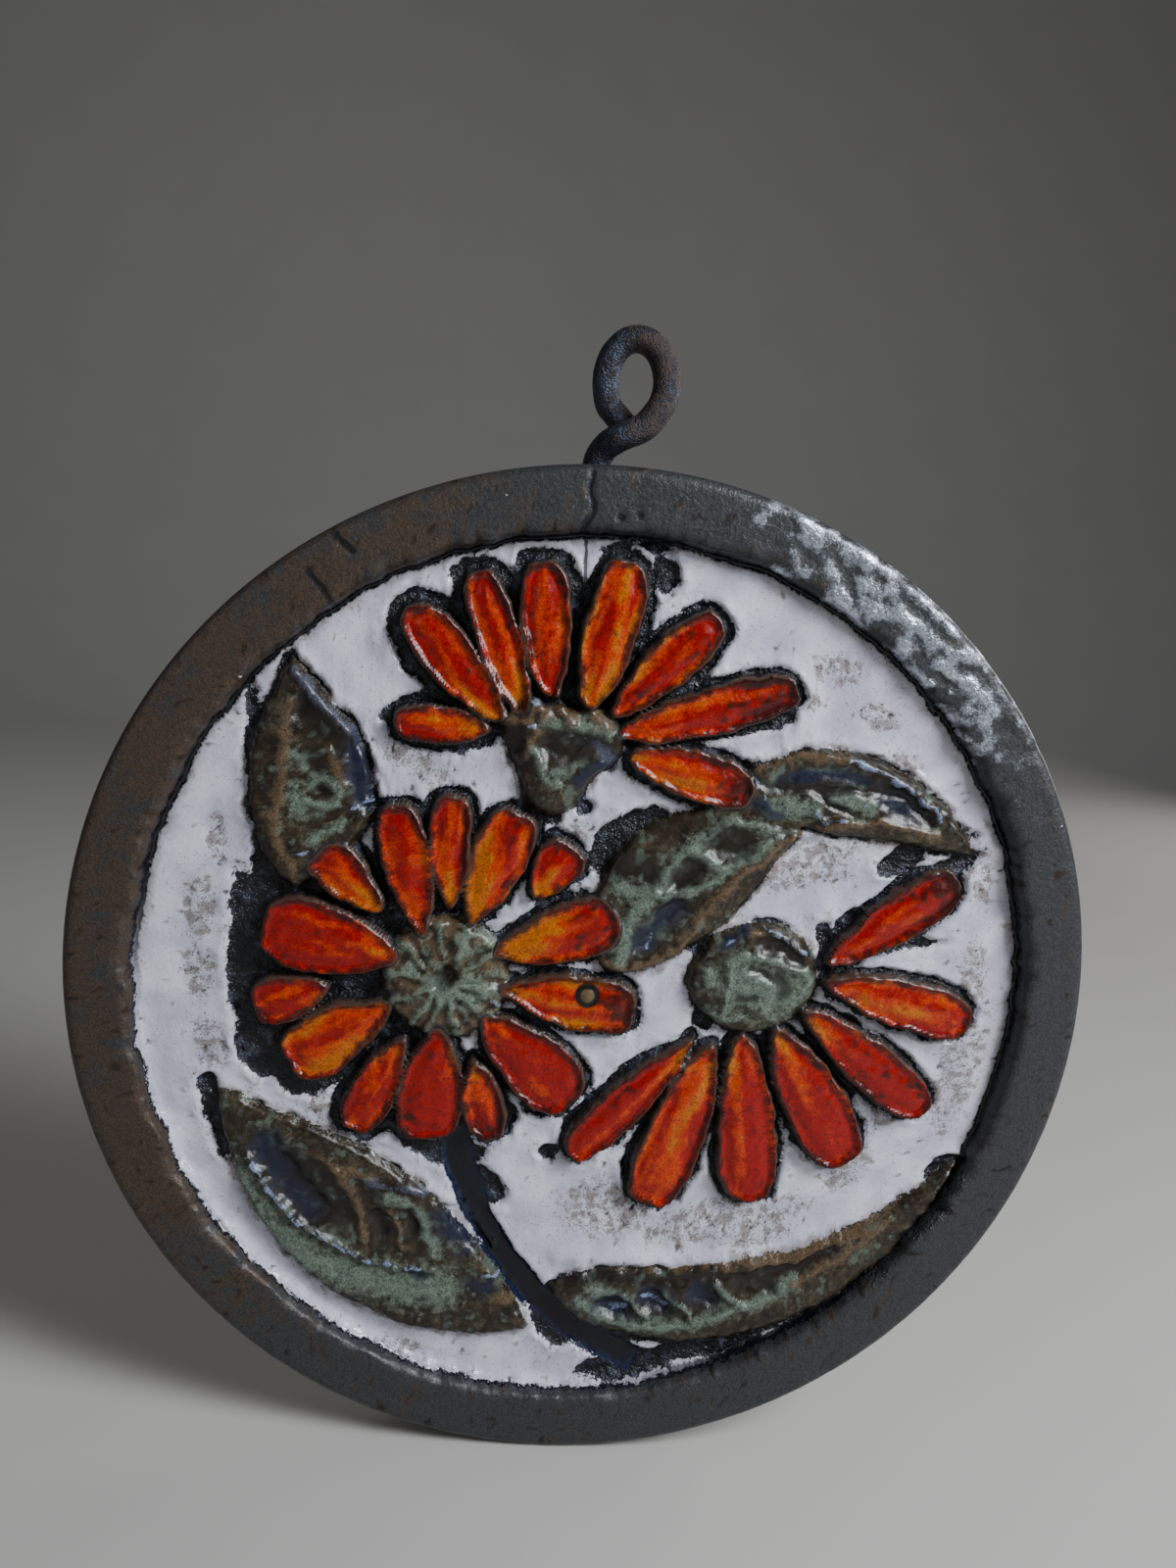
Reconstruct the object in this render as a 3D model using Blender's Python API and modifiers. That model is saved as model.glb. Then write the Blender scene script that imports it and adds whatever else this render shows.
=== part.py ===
"""Round wall plaque: a thick ceramic disc with a raised rim, three daisies, four leaves and a
stem in relief, and a bent iron rod let into its top edge as a hanging loop.

Metres, +Z up, front towards -Y. The origin is the point inside the loop's eye that bears on a
nail. The relief is drawn in the face frame: x to the right, y up, z out of the white ground,
with its origin at the middle of the disc. One empty holds that frame in the hanging position,
turned so that the nail's point comes straight above the disc's middle.
"""

import math
from collections import namedtuple

import bmesh
import bpy
from mathutils import Matrix, Vector
from mathutils.geometry import interpolate_bezier

MM = 0.001

# Disc
DISC_RADIUS = 140 * MM
RIM_WIDTH = 16 * MM
RIM_RISE = 6 * MM
SLAB_THICKNESS = 14 * MM
SHOULDER_RADIUS = 3 * MM
BACK_EDGE_RADIUS = 2 * MM
INNER_WALL_LEAN = 1.5 * MM
DISC_STEPS = 96
EDGE_STEPS = 2

# Hanging loop. The neck is the rod's height above the disc where it crosses under the eye.
ROD_DIAMETER = 7.5 * MM
EYE_WIDTH = 8 * MM
EYE_HEIGHT = 14 * MM
EYE_OFFSET = 10.6 * MM
EYE_FORWARD = 0.8 * MM
NECK_HEIGHT = 10.75 * MM
SHANK_OFFSET = 3 * MM
SHANK_DEPTH = 28 * MM
STRAND_GAP = 0.6 * MM
HOLE_CLEARANCE = 0.3 * MM
ARC_START, ARC_END, ARC_TOP = -45, 215, 90
ARC_STEPS = 13
ROD_POINTS = 3
HOLE_SIDES = 20

# Relief, as heights above the white ground
SUNK = 2 * MM
CUT_ABOVE = 6 * MM
PETAL_RISE = 4.2 * MM
PETAL_POOL = 1.3 * MM
PETAL_LIP = 1.5 * MM
PETAL_DRAFT = 0.6 * MM
LEAF_RISE = 3.4 * MM
LEAF_POOL = 1.2 * MM
LEAF_LIP = 1.6 * MM
LEAF_DRAFT = 0.8 * MM
MIDRIB_WIDTH = 3.4 * MM
MIDRIB_DROP = 0.2 * MM
POCKET_DEPTH = 1 * MM
POCKET_FLOOR_SHARE = 0.7
STEM_WIDTH = 8 * MM
STEM_DEPTH = 1.6 * MM
HEART_RISE = 4.8 * MM
CORE_PIT_RADIUS = 2.4 * MM
CORE_PIT_DEPTH = 2 * MM
PETAL_SIDES = 14
LEAF_SIDES = 20
SPINE_POINTS = 101
STEM_POINTS = 10
HEART_SIDES = 18
POCKET_SIDES = 8
PETAL_FULLNESS = 0.62
PETAL_ROOT_INSET = 2
BLADE_FULLNESS = 0.8
HAND_UNEVENNESS = 0.35 * MM
# A heart's dome, as (share of its outline, share of its rise) from the foot up
HEART_DOME = ((1.04, -0.45), (0.93, 0.6), (0.7, 0.9), (0.35, 1))

FIELD_RADIUS = DISC_RADIUS - RIM_WIDTH
DISC_BACK = -SLAB_THICKNESS
ROD_RADIUS = ROD_DIAMETER / 2
ROD_DEPTH = -SLAB_THICKNESS / 2
EYE_MIDDLE = Vector((
    SHANK_OFFSET + EYE_OFFSET,
    DISC_RADIUS + NECK_HEIGHT + ROD_RADIUS + EYE_HEIGHT / 2,
))
NAIL_POINT = EYE_MIDDLE + Vector((0, EYE_HEIGHT / 2))
HANG_LEAN = math.atan2(NAIL_POINT.x, NAIL_POINT.y)

# A petal runs from its root to its tip: each is an angle in degrees and a distance from the
# flower's middle in shares of the flower's spread, as its width is.
Petal = namedtuple("Petal", "root_angle root tip_angle tip width")
# A flower's middle and spread are shares of the white field's radius. A taper of 0 makes
# petals with like ends, and 1 makes drops.
Flower = namedtuple("Flower", "name middle spread taper petals")
# A leaf's ends, its bend and the width on each side of its spine are shares of the field's
# radius. The belly says how far along it is widest: 1 is halfway, and less is nearer the base.
Leaf = namedtuple("Leaf", "name base tip bend left right belly rib pockets")
# A pocket sits at a share of the leaf's spine, off it by a share of the width on that side.
Pocket = namedtuple("Pocket", "along side length width turn")
# A flower's heart is round, or has lobes that swing out by a share of it.
Heart = namedtuple("Heart", "name middle radii lobes lobe_turn swing", defaults=(0, 0, 0))

TOP_DAISY = Flower("top_daisy", (-0.048, 0.524), 0.45, 0.35, (
    Petal(160, 0.36, 168, 0.83, 0.19),
    Petal(150, 0.33, 136, 1.00, 0.25),
    Petal(134, 0.27, 115, 0.95, 0.22),
    Petal(103, 0.27, 96, 0.92, 0.25),
    Petal(62, 0.24, 71, 0.96, 0.27),
    Petal(38, 0.29, 41, 0.98, 0.24),
    Petal(18, 0.28, 15, 1.18, 0.24),
    Petal(-1, 0.31, -12, 0.94, 0.24),
))
LEFT_DAISY = Flower("left_daisy", (-0.311, 0.028), 0.4, 0.7, (
    Petal(113, 0.27, 105, 1.01, 0.28),
    Petal(86, 0.38, 87, 1.03, 0.25),
    Petal(66, 0.33, 66, 1.02, 0.32),
    Petal(42, 0.66, 47, 1.02, 0.28),
    Petal(26, 0.30, 19, 1.00, 0.35),
    Petal(-11, 0.30, -12, 1.08, 0.33),
    Petal(-48, 0.28, -47, 1.03, 0.40),
    Petal(-73, 0.48, -76, 0.98, 0.25),
    Petal(-99, 0.28, -98, 0.96, 0.39),
    Petal(-126, 0.40, -122, 1.03, 0.27),
    Petal(-157, 0.33, -152, 0.99, 0.37),
    Petal(-177, 0.62, -173, 1.06, 0.28),
    Petal(153, 0.28, 161, 1.04, 0.42),
    Petal(130, 0.50, 132, 0.99, 0.27),
))
RIGHT_DAISY = Flower("right_daisy", (0.379, 0.02), 0.56, 0.6, (
    Petal(8, 0.29, 25, 0.90, 0.21),
    Petal(-6, 0.28, -14, 0.92, 0.22),
    Petal(-36, 0.25, -40, 0.94, 0.22),
    Petal(-71, 0.23, -64, 0.91, 0.27),
    Petal(-101, 0.24, -90, 0.98, 0.26),
    Petal(-120, 0.33, -114, 1.07, 0.26),
    Petal(-133, 0.36, -135, 1.06, 0.19),
))
LEAVES = (
    Leaf("upper_leaf", (-0.63, 0.235), (-0.615, 0.73), 0.02, 0.075, 0.19, 0.85, 0.0, (
        Pocket(0.55, -0.55, 0.17, 0.09, 0),
        Pocket(0.42, 0.0, 0.06, 0.05, 0),
    )),
    Leaf("folded_leaf", (0.04, 0.04), (0.50, 0.41), 0.0, 0.19, 0.09, 0.75, 0.0, (
        Pocket(0.42, 0.62, 0.14, 0.09, -10),
        Pocket(0.30, -0.35, 0.14, 0.05, 10),
        Pocket(0.44, 0.05, 0.08, 0.06, 10),
        Pocket(0.68, 0.15, 0.08, 0.06, 10),
    )),
    Leaf("leaf_end", (0.33, 0.44), (0.87, 0.285), 0.06, 0.09, 0.095, 0.8, 0.0, (
        Pocket(0.30, 0.45, 0.15, 0.05, 0),
        Pocket(0.62, 0.35, 0.13, 0.04, 0),
    )),
    Leaf("left_leaf", (-0.14, -0.83), (-0.815, -0.22), 0.09, 0.125, 0.2, 0.95, 0.1, (
        Pocket(0.64, -0.30, 0.20, 0.11, 0),
        Pocket(0.46, -0.35, 0.12, 0.07, -60),
        Pocket(0.34, -0.35, 0.12, 0.07, -60),
        Pocket(0.22, -0.35, 0.13, 0.08, -30),
        Pocket(0.12, 0.35, 0.06, 0.05, 0),
    )),
    Leaf("right_leaf", (-0.09, -0.73), (0.87, -0.45), -0.18, 0.10, 0.09, 0.65, 0.0, (
        Pocket(0.20, -0.45, 0.09, 0.045, 20),
        Pocket(0.30, -0.45, 0.07, 0.045, 25),
        Pocket(0.40, -0.45, 0.07, 0.045, 25),
        Pocket(0.53, -0.45, 0.10, 0.045, 20),
    )),
)
HEARTS = (
    Heart("top_heart", (-0.06, 0.53), (0.122, 0.12), 3, 18, 0.2),
    Heart("left_heart", LEFT_DAISY.middle, (0.14, 0.14)),
    Heart("right_heart", (0.376, 0.01), (0.145, 0.128)),
)
STEM = ((-0.305, -0.34), (-0.22, -0.78), (0.112, -0.933))


def clear_scene():
    for old in list(bpy.data.objects):
        bpy.data.objects.remove(old)


def make_collection(name):
    collection = bpy.data.collections.new(name)
    bpy.context.scene.collection.children.link(collection)
    return collection


def make_material(name, colour, roughness, metallic=0.0):
    material = bpy.data.materials.new(name)
    material.use_nodes = True
    shader = material.node_tree.nodes["Principled BSDF"]
    shader.inputs["Base Color"].default_value = (*colour, 1.0)
    shader.inputs["Roughness"].default_value = roughness
    shader.inputs["Metallic"].default_value = metallic
    material.diffuse_color = (*colour, 1.0)
    return material


def place(obj, collection, frame):
    collection.objects.link(obj)
    obj.parent = frame
    return obj


def make_cutter(obj):
    obj.hide_render = True
    obj.display_type = "WIRE"


def add_boolean(target, operation, operand):
    cut = target.modifiers.new(operation.title(), "BOOLEAN")
    cut.operation = operation
    cut.solver = "EXACT"
    if isinstance(operand, bpy.types.Collection):
        cut.operand_type = "COLLECTION"
        cut.collection = operand
    else:
        cut.object = operand


def hanging_frame():
    """The face frame, hung from the nail."""
    frame = bpy.data.objects.new("face_frame", None)
    bpy.context.scene.collection.objects.link(frame)
    frame.location = (0, ROD_DEPTH + EYE_FORWARD, -NAIL_POINT.length)
    upright = Matrix.Rotation(math.radians(90), 3, "X")
    frame.rotation_euler = (upright @ Matrix.Rotation(HANG_LEAN, 3, "Z")).to_euler()
    return frame


def field_point(share):
    return Vector(share) * FIELD_RADIUS


def polar(angle, distance):
    return Vector((math.cos(math.radians(angle)), math.sin(math.radians(angle)))) * distance


def arc(middle, radius, start, end):
    """Points of an edge's rounding, as (radius, height) pairs of the turned profile."""
    for step in range(EDGE_STEPS + 1):
        angle = math.radians(start + (end - start) * step / EDGE_STEPS)
        yield middle[0] + radius * math.cos(angle), middle[1] + radius * math.sin(angle)


def disc_profile():
    """Half of the disc's section, from the middle of the white ground to that of the back."""
    crown = RIM_RISE - SHOULDER_RADIUS
    shoulder = (DISC_RADIUS - SHOULDER_RADIUS, crown)
    heel = (DISC_RADIUS - BACK_EDGE_RADIUS, DISC_BACK + BACK_EDGE_RADIUS)
    return [
        (0, 0),
        (FIELD_RADIUS - INNER_WALL_LEAN, 0),
        (FIELD_RADIUS, RIM_RISE),
        *arc(shoulder, SHOULDER_RADIUS, 90, 0),
        *arc(heel, BACK_EDGE_RADIUS, 0, -90),
        (0, DISC_BACK),
    ]


def turned_disc(name):
    points = disc_profile()
    mesh = bpy.data.meshes.new(name)
    edges = [(i, i + 1) for i in range(len(points) - 1)]
    mesh.from_pydata([(radius, 0, height) for radius, height in points], edges, [])
    disc = bpy.data.objects.new(name, mesh)
    turn = disc.modifiers.new("Turn", "SCREW")
    turn.axis = "Z"
    turn.steps = turn.render_steps = DISC_STEPS
    turn.use_merge_vertices = True
    turn.merge_threshold = 0.00005
    return disc


def loft(name, rings):
    """A closed body through flat rings of equal count. Each ring is (points, height)."""
    bm = bmesh.new()
    bmesh.ops.create_circle(bm, cap_ends=True, segments=len(rings[0][0]), radius=1)
    cap = bm.faces[:][0]
    for number, (points, height) in enumerate(rings):
        if number:
            made = bmesh.ops.extrude_face_region(bm, geom=[cap])["geom"]
            if number > 1:
                bmesh.ops.delete(bm, geom=[cap], context="FACES_ONLY")
            cap = next(part for part in made if isinstance(part, bmesh.types.BMFace))
        for vertex, point in zip(cap.verts, points):
            vertex.co = (point.x, point.y, height)
    bmesh.ops.recalc_face_normals(bm, faces=bm.faces[:])
    mesh = bpy.data.meshes.new(name)
    bm.to_mesh(mesh)
    bm.free()
    return bpy.data.objects.new(name, mesh)


def drop_width(turn, taper):
    """How wide a drop is at an angle round it. The root lies at 0 and the tip at half a turn."""
    side = math.sin(turn)
    round_end = abs(side) ** PETAL_FULLNESS
    return math.copysign(round_end * math.sin(turn / 2) ** taper, side)


def petal_ring(root, tip, width, taper, inset):
    axis = (tip - root).normalized()
    across = Vector((-axis.y, axis.x))
    start = root + axis * inset * PETAL_ROOT_INSET
    length = (tip - axis * inset - start).length
    turns = [2 * math.pi * i / PETAL_SIDES for i in range(PETAL_SIDES)]
    widest = max(drop_width(turn, taper) for turn in turns)
    half = (width / 2 - inset) / widest
    return [
        start + axis * length * (1 - math.cos(turn)) / 2 + across * half * drop_width(turn, taper)
        for turn in turns
    ]


def uneven(height, number):
    """A height as a hand leaves it, so that no two forms stand exactly alike."""
    return height + HAND_UNEVENNESS * math.sin(number * 2.4)


def make_petals(flower):
    middle, spread = field_point(flower.middle), flower.spread * FIELD_RADIUS
    for number, petal in enumerate(flower.petals, 1):
        root = middle + polar(petal.root_angle, petal.root * spread)
        tip = middle + polar(petal.tip_angle, petal.tip * spread)
        rise = uneven(PETAL_RISE, number)

        def ring(inset, height):
            outline = petal_ring(root, tip, petal.width * spread, flower.taper, inset)
            return outline, height

        yield loft(f"{flower.name}_petal_{number}", [
            ring(0, uneven(-SUNK, number)),
            ring(PETAL_DRAFT, rise),
            ring(PETAL_LIP, rise),
            ring(PETAL_LIP + PETAL_DRAFT, rise - PETAL_POOL),
        ])


def oval_ring(middle, radii, sides, reach=lambda angle: 1):
    """An oval outline. reach moves it in or out at each angle."""
    points = []
    for i in range(sides):
        angle = 2 * math.pi * i / sides
        offset = Vector((radii.x * math.cos(angle), radii.y * math.sin(angle)))
        points.append(middle + offset * reach(angle))
    return points


def make_heart(heart):
    """A domed flower heart."""
    lobe_turn = math.radians(heart.lobe_turn)

    def lobed(angle):
        return 1 + heart.swing * math.cos(heart.lobes * (angle - lobe_turn))

    middle, radii = field_point(heart.middle), field_point(heart.radii)
    return loft(heart.name, [
        (oval_ring(middle, radii * share, HEART_SIDES, lobed), height * HEART_RISE)
        for share, height in HEART_DOME
    ])


def make_core_pit():
    """The round hole in the middle of the left daisy's heart."""
    middle, radius = field_point(LEFT_DAISY.middle), Vector((CORE_PIT_RADIUS, CORE_PIT_RADIUS))
    return loft("core_pit", [
        (oval_ring(middle, radius / 2, POCKET_SIDES), HEART_RISE - CORE_PIT_DEPTH),
        (oval_ring(middle, radius, POCKET_SIDES), HEART_RISE),
        (oval_ring(middle, radius, POCKET_SIDES), CUT_ABOVE),
    ])


def spine_through(start, handle_1, handle_2, end, count):
    """Points along a curve with the direction across each."""
    line = interpolate_bezier(start, handle_1, handle_2, end, count)
    spine = []
    for i, point in enumerate(line):
        ahead = (line[min(i + 1, count - 1)] - line[max(i - 1, 0)]).normalized()
        spine.append((point.to_2d(), Vector((-ahead.y, ahead.x))))
    return spine


def leaf_spine(leaf, count):
    """The leaf's bent spine. Its handles lie 4/3 as far out as its middle is bent."""
    base, tip = field_point(leaf.base), field_point(leaf.tip)
    chord = tip - base
    side = Vector((-chord.y, chord.x)).normalized() * leaf.bend * FIELD_RADIUS * 4 / 3
    return spine_through(base, base + chord / 3 + side, tip - chord / 3 + side, tip, count)


def blade_width(leaf, along):
    """How wide a leaf is at a share of its spine, as a share of its full width."""
    if along <= 0 or along >= 1:
        return 0
    return math.sin(math.pi * along ** leaf.belly) ** BLADE_FULLNESS


def leaf_ring(leaf, inset):
    """A leaf's outline, or one like it that lies inside it."""
    steps = LEAF_SIDES // 2
    spine = leaf_spine(leaf, SPINE_POINTS)
    skip = inset * 2 / (spine[-1][0] - spine[0][0]).length
    left, right = [], []
    for i in range(steps + 1):
        along = skip + (1 - 2 * skip) * i / steps
        point, across = spine[round(along * (SPINE_POINTS - 1))]
        full = blade_width(leaf, i / steps)
        left.append(point + across * (leaf.left * FIELD_RADIUS - inset) * full)
        right.append(point - across * (leaf.right * FIELD_RADIUS - inset) * full)
    return left + right[-2:0:-1]


def strip_ring(spine, width):
    """A strip of even width along a spine."""
    left = [point + across * width / 2 for point, across in spine]
    right = [point - across * width / 2 for point, across in spine]
    return left + right[::-1]


def make_leaf(leaf, rise):
    return loft(leaf.name, [
        (leaf_ring(leaf, 0), LEAF_RISE - rise - SUNK),
        (leaf_ring(leaf, LEAF_DRAFT), rise),
        (leaf_ring(leaf, LEAF_LIP), rise),
        (leaf_ring(leaf, LEAF_LIP + LEAF_DRAFT), rise - LEAF_POOL),
    ])


def make_midrib(leaf, rise):
    """The raised rib along a leaf, which stops short of both its ends."""
    steps = LEAF_SIDES // 2
    spine = []
    for i, (point, across) in enumerate(leaf_spine(leaf, steps + 1)):
        shift = leaf.rib * leaf.left * FIELD_RADIUS * blade_width(leaf, i / steps)
        spine.append((point + across * shift, across))
    return loft(leaf.name + "_midrib", [
        (strip_ring(spine[1:-1], MIDRIB_WIDTH), -SUNK / 2),
        (strip_ring(spine[1:-1], MIDRIB_WIDTH / 2), rise - MIDRIB_DROP),
    ])


def make_pockets(leaf, rise):
    """The hollows pressed into a leaf, which hold its darker glazes."""
    spine = leaf_spine(leaf, SPINE_POINTS)
    floor = rise - LEAF_POOL
    for number, pocket in enumerate(leaf.pockets, 1):
        point, across = spine[round(pocket.along * (SPINE_POINTS - 1))]
        reach = leaf.left if pocket.side > 0 else leaf.right
        wide = blade_width(leaf, pocket.along) * reach * FIELD_RADIUS
        middle = point + across * pocket.side * wide
        turn = Matrix.Rotation(math.atan2(-across.x, across.y) + math.radians(pocket.turn), 2)
        radii = Vector((pocket.length, pocket.width)) * FIELD_RADIUS / 2

        def ring(share, height):
            oval = oval_ring(Vector((0, 0)), radii * share, POCKET_SIDES)
            return [middle + turn @ point for point in oval], height

        yield loft(f"{leaf.name}_pocket_{number}", [
            ring(POCKET_FLOOR_SHARE, floor - POCKET_DEPTH), ring(1, floor), ring(1, CUT_ABOVE),
        ])


def make_stem_channel():
    """The stem is a channel, cut from the left daisy to the foot of the field."""
    start, bend, end = (field_point(share) for share in STEM)
    handles = start.lerp(bend, 2 / 3), end.lerp(bend, 2 / 3)
    spine = spine_through(start, *handles, end, STEM_POINTS)
    return loft("stem_channel", [
        (strip_ring(spine, STEM_WIDTH - 2 * STEM_DEPTH), -STEM_DEPTH),
        (strip_ring(spine, STEM_WIDTH), 0),
        (strip_ring(spine, STEM_WIDTH), CUT_ABOVE),
    ])


def make_shank_hole():
    """The blind hole in the disc's top edge that holds the rod's shank."""
    depth = SHANK_DEPTH + HOLE_CLEARANCE
    bm = bmesh.new()
    bmesh.ops.create_cone(
        bm, cap_ends=True, segments=HOLE_SIDES, depth=depth * 2,
        radius1=ROD_RADIUS + HOLE_CLEARANCE, radius2=ROD_RADIUS + HOLE_CLEARANCE,
    )
    mesh = bpy.data.meshes.new("shank_hole")
    bm.to_mesh(mesh)
    bm.free()
    hole = bpy.data.objects.new("shank_hole", mesh)
    hole.location = (SHANK_OFFSET, DISC_RADIUS, ROD_DEPTH)
    hole.rotation_euler = (math.radians(90), 0, 0)
    return hole


def loop_route():
    """The rod's centre line: up the shank, over in front of its own tail, round the eye and
    down behind the front strand. Its places beside the eye are shares of the eye's size, and
    those under it are shares of the neck."""
    half_width = EYE_WIDTH / 2 + ROD_RADIUS
    half_height = EYE_HEIGHT / 2 + ROD_RADIUS
    front = (ROD_DIAMETER + STRAND_GAP) / 2
    edge = DISC_RADIUS
    middle = EYE_MIDDLE.to_3d() + Vector((0, 0, EYE_FORWARD))

    def under_eye(across, neck_share, ahead):
        return Vector((
            middle.x + across * half_width, edge + neck_share * NECK_HEIGHT, middle.z + ahead
        ))

    route = [
        Vector((SHANK_OFFSET, edge - SHANK_DEPTH, 0)),
        Vector((SHANK_OFFSET, edge, 0)),
        Vector((SHANK_OFFSET + ROD_DIAMETER * 0.3, edge + NECK_HEIGHT * 0.44, EYE_FORWARD * 2)),
        under_eye(-0.54, 0.68, front),
        under_eye(0.2, 0.9, front),
    ]
    for step in range(ARC_STEPS + 1):
        angle = ARC_START + (ARC_END - ARC_START) * step / ARC_STEPS
        ahead = (ARC_TOP - angle) / (ARC_TOP - ARC_START)
        offset = Vector((
            half_width * math.cos(math.radians(angle)),
            half_height * math.sin(math.radians(angle)),
            front * ahead,
        ))
        route.append(middle + offset)
    route.append(under_eye(-0.2, 0.94, -front))
    return [point + Vector((0, 0, ROD_DEPTH)) for point in route]


def smooth_line(route, between):
    """Points on a smooth curve through a route's points, which starts out straight up."""
    first_step = Vector((0, (route[1] - route[0]).length, 0))
    ends = [route[0] - first_step, *route, route[-1] * 2 - route[-2]]
    line = []
    for before, start, end, after in zip(ends, ends[1:], ends[2:], ends[3:]):
        handle_1 = start + (end - before) / 6
        handle_2 = end - (after - start) / 6
        line += interpolate_bezier(start, handle_1, handle_2, end, between + 1)[:-1]
    return [*line, route[-1]]


def make_loop(name):
    route = loop_route()
    line = [route[0], *smooth_line(route[1:], ROD_POINTS - 1)]
    curve = bpy.data.curves.new(name, "CURVE")
    curve.dimensions = "3D"
    curve.bevel_depth = ROD_RADIUS
    curve.bevel_resolution = 3
    curve.use_fill_caps = True
    spline = curve.splines.new("POLY")
    spline.points.add(len(line) - 1)
    for point, place_on_line in zip(spline.points, line):
        point.co = (*place_on_line, 1)
    spline.use_smooth = True
    return bpy.data.objects.new(name, curve)


def build():
    clear_scene()
    parts = make_collection("wall_plaque")
    raised = make_collection("raised_relief")
    cut = make_collection("cut_relief")
    frame = hanging_frame()
    glaze = make_material("glazed_stoneware", (0.42, 0.38, 0.36), 0.35)
    iron = make_material("rusted_iron", (0.06, 0.045, 0.04), 0.7, 0.6)

    disc = place(turned_disc("plaque_disc"), parts, frame)
    disc.data.materials.append(glaze)
    forms = [make_heart(heart) for heart in HEARTS]
    for flower in (TOP_DAISY, LEFT_DAISY, RIGHT_DAISY):
        forms += make_petals(flower)
    cuts = [make_stem_channel(), make_core_pit(), make_shank_hole()]
    for number, leaf in enumerate(LEAVES, 1):
        rise = uneven(LEAF_RISE, number)
        forms += [make_leaf(leaf, rise), make_midrib(leaf, rise)]
        cuts += make_pockets(leaf, rise)
    for form in forms:
        make_cutter(place(form, raised, frame))
    for form in cuts:
        make_cutter(place(form, cut, frame))
    add_boolean(disc, "UNION", raised)
    add_boolean(disc, "DIFFERENCE", cut)

    loop = place(make_loop("hanging_loop"), parts, frame)
    loop.data.materials.append(iron)


build()
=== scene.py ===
"""Wall plaque of glazed stoneware: three red daisies, four leaves and a stem in relief on a white
ground, inside a dark raised rim, with a forged iron loop to hang it by.

Sizes are in millimetres in the face frame: x to the right, y up, z out of the white ground, with
the origin at the middle of the disc. FACE carries that frame into the frame of the solids.
"""

import math
from collections import namedtuple
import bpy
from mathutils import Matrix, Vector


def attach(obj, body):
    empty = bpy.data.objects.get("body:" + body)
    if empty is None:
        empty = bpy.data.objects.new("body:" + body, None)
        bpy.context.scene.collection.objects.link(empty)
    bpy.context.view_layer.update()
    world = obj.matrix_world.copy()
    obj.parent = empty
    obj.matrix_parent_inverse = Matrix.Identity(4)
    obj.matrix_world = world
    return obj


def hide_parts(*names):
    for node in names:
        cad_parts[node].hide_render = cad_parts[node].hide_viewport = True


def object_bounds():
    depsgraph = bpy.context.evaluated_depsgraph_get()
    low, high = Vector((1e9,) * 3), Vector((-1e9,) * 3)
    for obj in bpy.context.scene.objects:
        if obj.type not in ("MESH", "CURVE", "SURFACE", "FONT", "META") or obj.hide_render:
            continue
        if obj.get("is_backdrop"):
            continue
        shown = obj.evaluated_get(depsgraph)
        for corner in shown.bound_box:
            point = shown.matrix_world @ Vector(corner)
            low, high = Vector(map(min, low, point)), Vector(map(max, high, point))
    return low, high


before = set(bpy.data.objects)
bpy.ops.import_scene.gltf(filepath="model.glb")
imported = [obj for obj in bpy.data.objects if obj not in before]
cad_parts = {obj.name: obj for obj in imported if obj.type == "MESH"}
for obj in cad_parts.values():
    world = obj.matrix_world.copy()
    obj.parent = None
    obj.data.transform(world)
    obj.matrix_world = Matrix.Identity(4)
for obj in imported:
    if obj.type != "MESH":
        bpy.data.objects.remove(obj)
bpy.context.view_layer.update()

from types import SimpleNamespace

import bmesh
import bpy
import numpy as np
from mathutils import Matrix, Vector, noise
from mathutils.geometry import interpolate_bezier

bl_info = {
    "name": "Flower Wall Plaque",
    "version": (1, 0, 0),
    "blender": (4, 5, 0),
    "location": "View3D > Sidebar > Plaque",
    "description": "Glazed stoneware wall plaque with daisies in relief and an iron loop",
    "category": "Add Mesh",
}

MM = 0.001
SEED = 7

# Disc
DISC_RADIUS = 140
FIELD_RADIUS = 124
TOP_RADIUS = 137
SHOULDER_RADIUS = 3
HEEL_RADIUS = 2
RIM_RISE = 6
BACK = -14
INNER_WALL = 122.5
SLACK = 0.05

# Hanging loop
ROD_RADIUS = 3.75
EYE_WIDTH = 8
EYE_HEIGHT = 14
EYE_OFFSET = 10.6
EYE_FORWARD = 0.8
NECK_HEIGHT = 10.75
SHANK_OFFSET = 3
SHANK_SHOWN = 6
STRAND_GAP = 0.6
ROD_DEPTH = -7

# Relief
PETAL_RISE = 4.2
PETAL_POOL = 1.3
LEAF_RISE = 3.4
HEART_RISE = 4.8
STEM_DEPTH = 1.6
GROOVE_DEPTH = 1.1
FIELD_WAVE = 0.35
WHITE_SWELL = 0.7
PIT_SPACING = 3.0
PIT_DEPTH = 0.8
GAP_DEPTH = 0.6
BEAD_RISE = 1.4
SPECK_RADIUS = 0.7
PETAL_FULLNESS = 0.62
BLADE_FULLNESS = 0.8

# How far from a form its depth is still measured
REACH = 12
# Sizes over which the noises of the glazes change, and what brings them to about -1 to 1
BROAD, BLOTCH, MOTTLE, LUMPS, SIDE_FOIL = 11, 3.2, 1.8, 7, 4
GAIN = 1.5
# What the fields say on the disc's side: well within the rim, and far from cracks and specks
ALL_RIM, NOWHERE = 8, -3
# Directions from the disc's middle, in degrees: brown rim, painted highlight on the rim, and white
# bead
BROWN_SIDE, HIGHLIGHT_SIDE, BEAD_SIDE = 162, 49, 228

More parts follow.
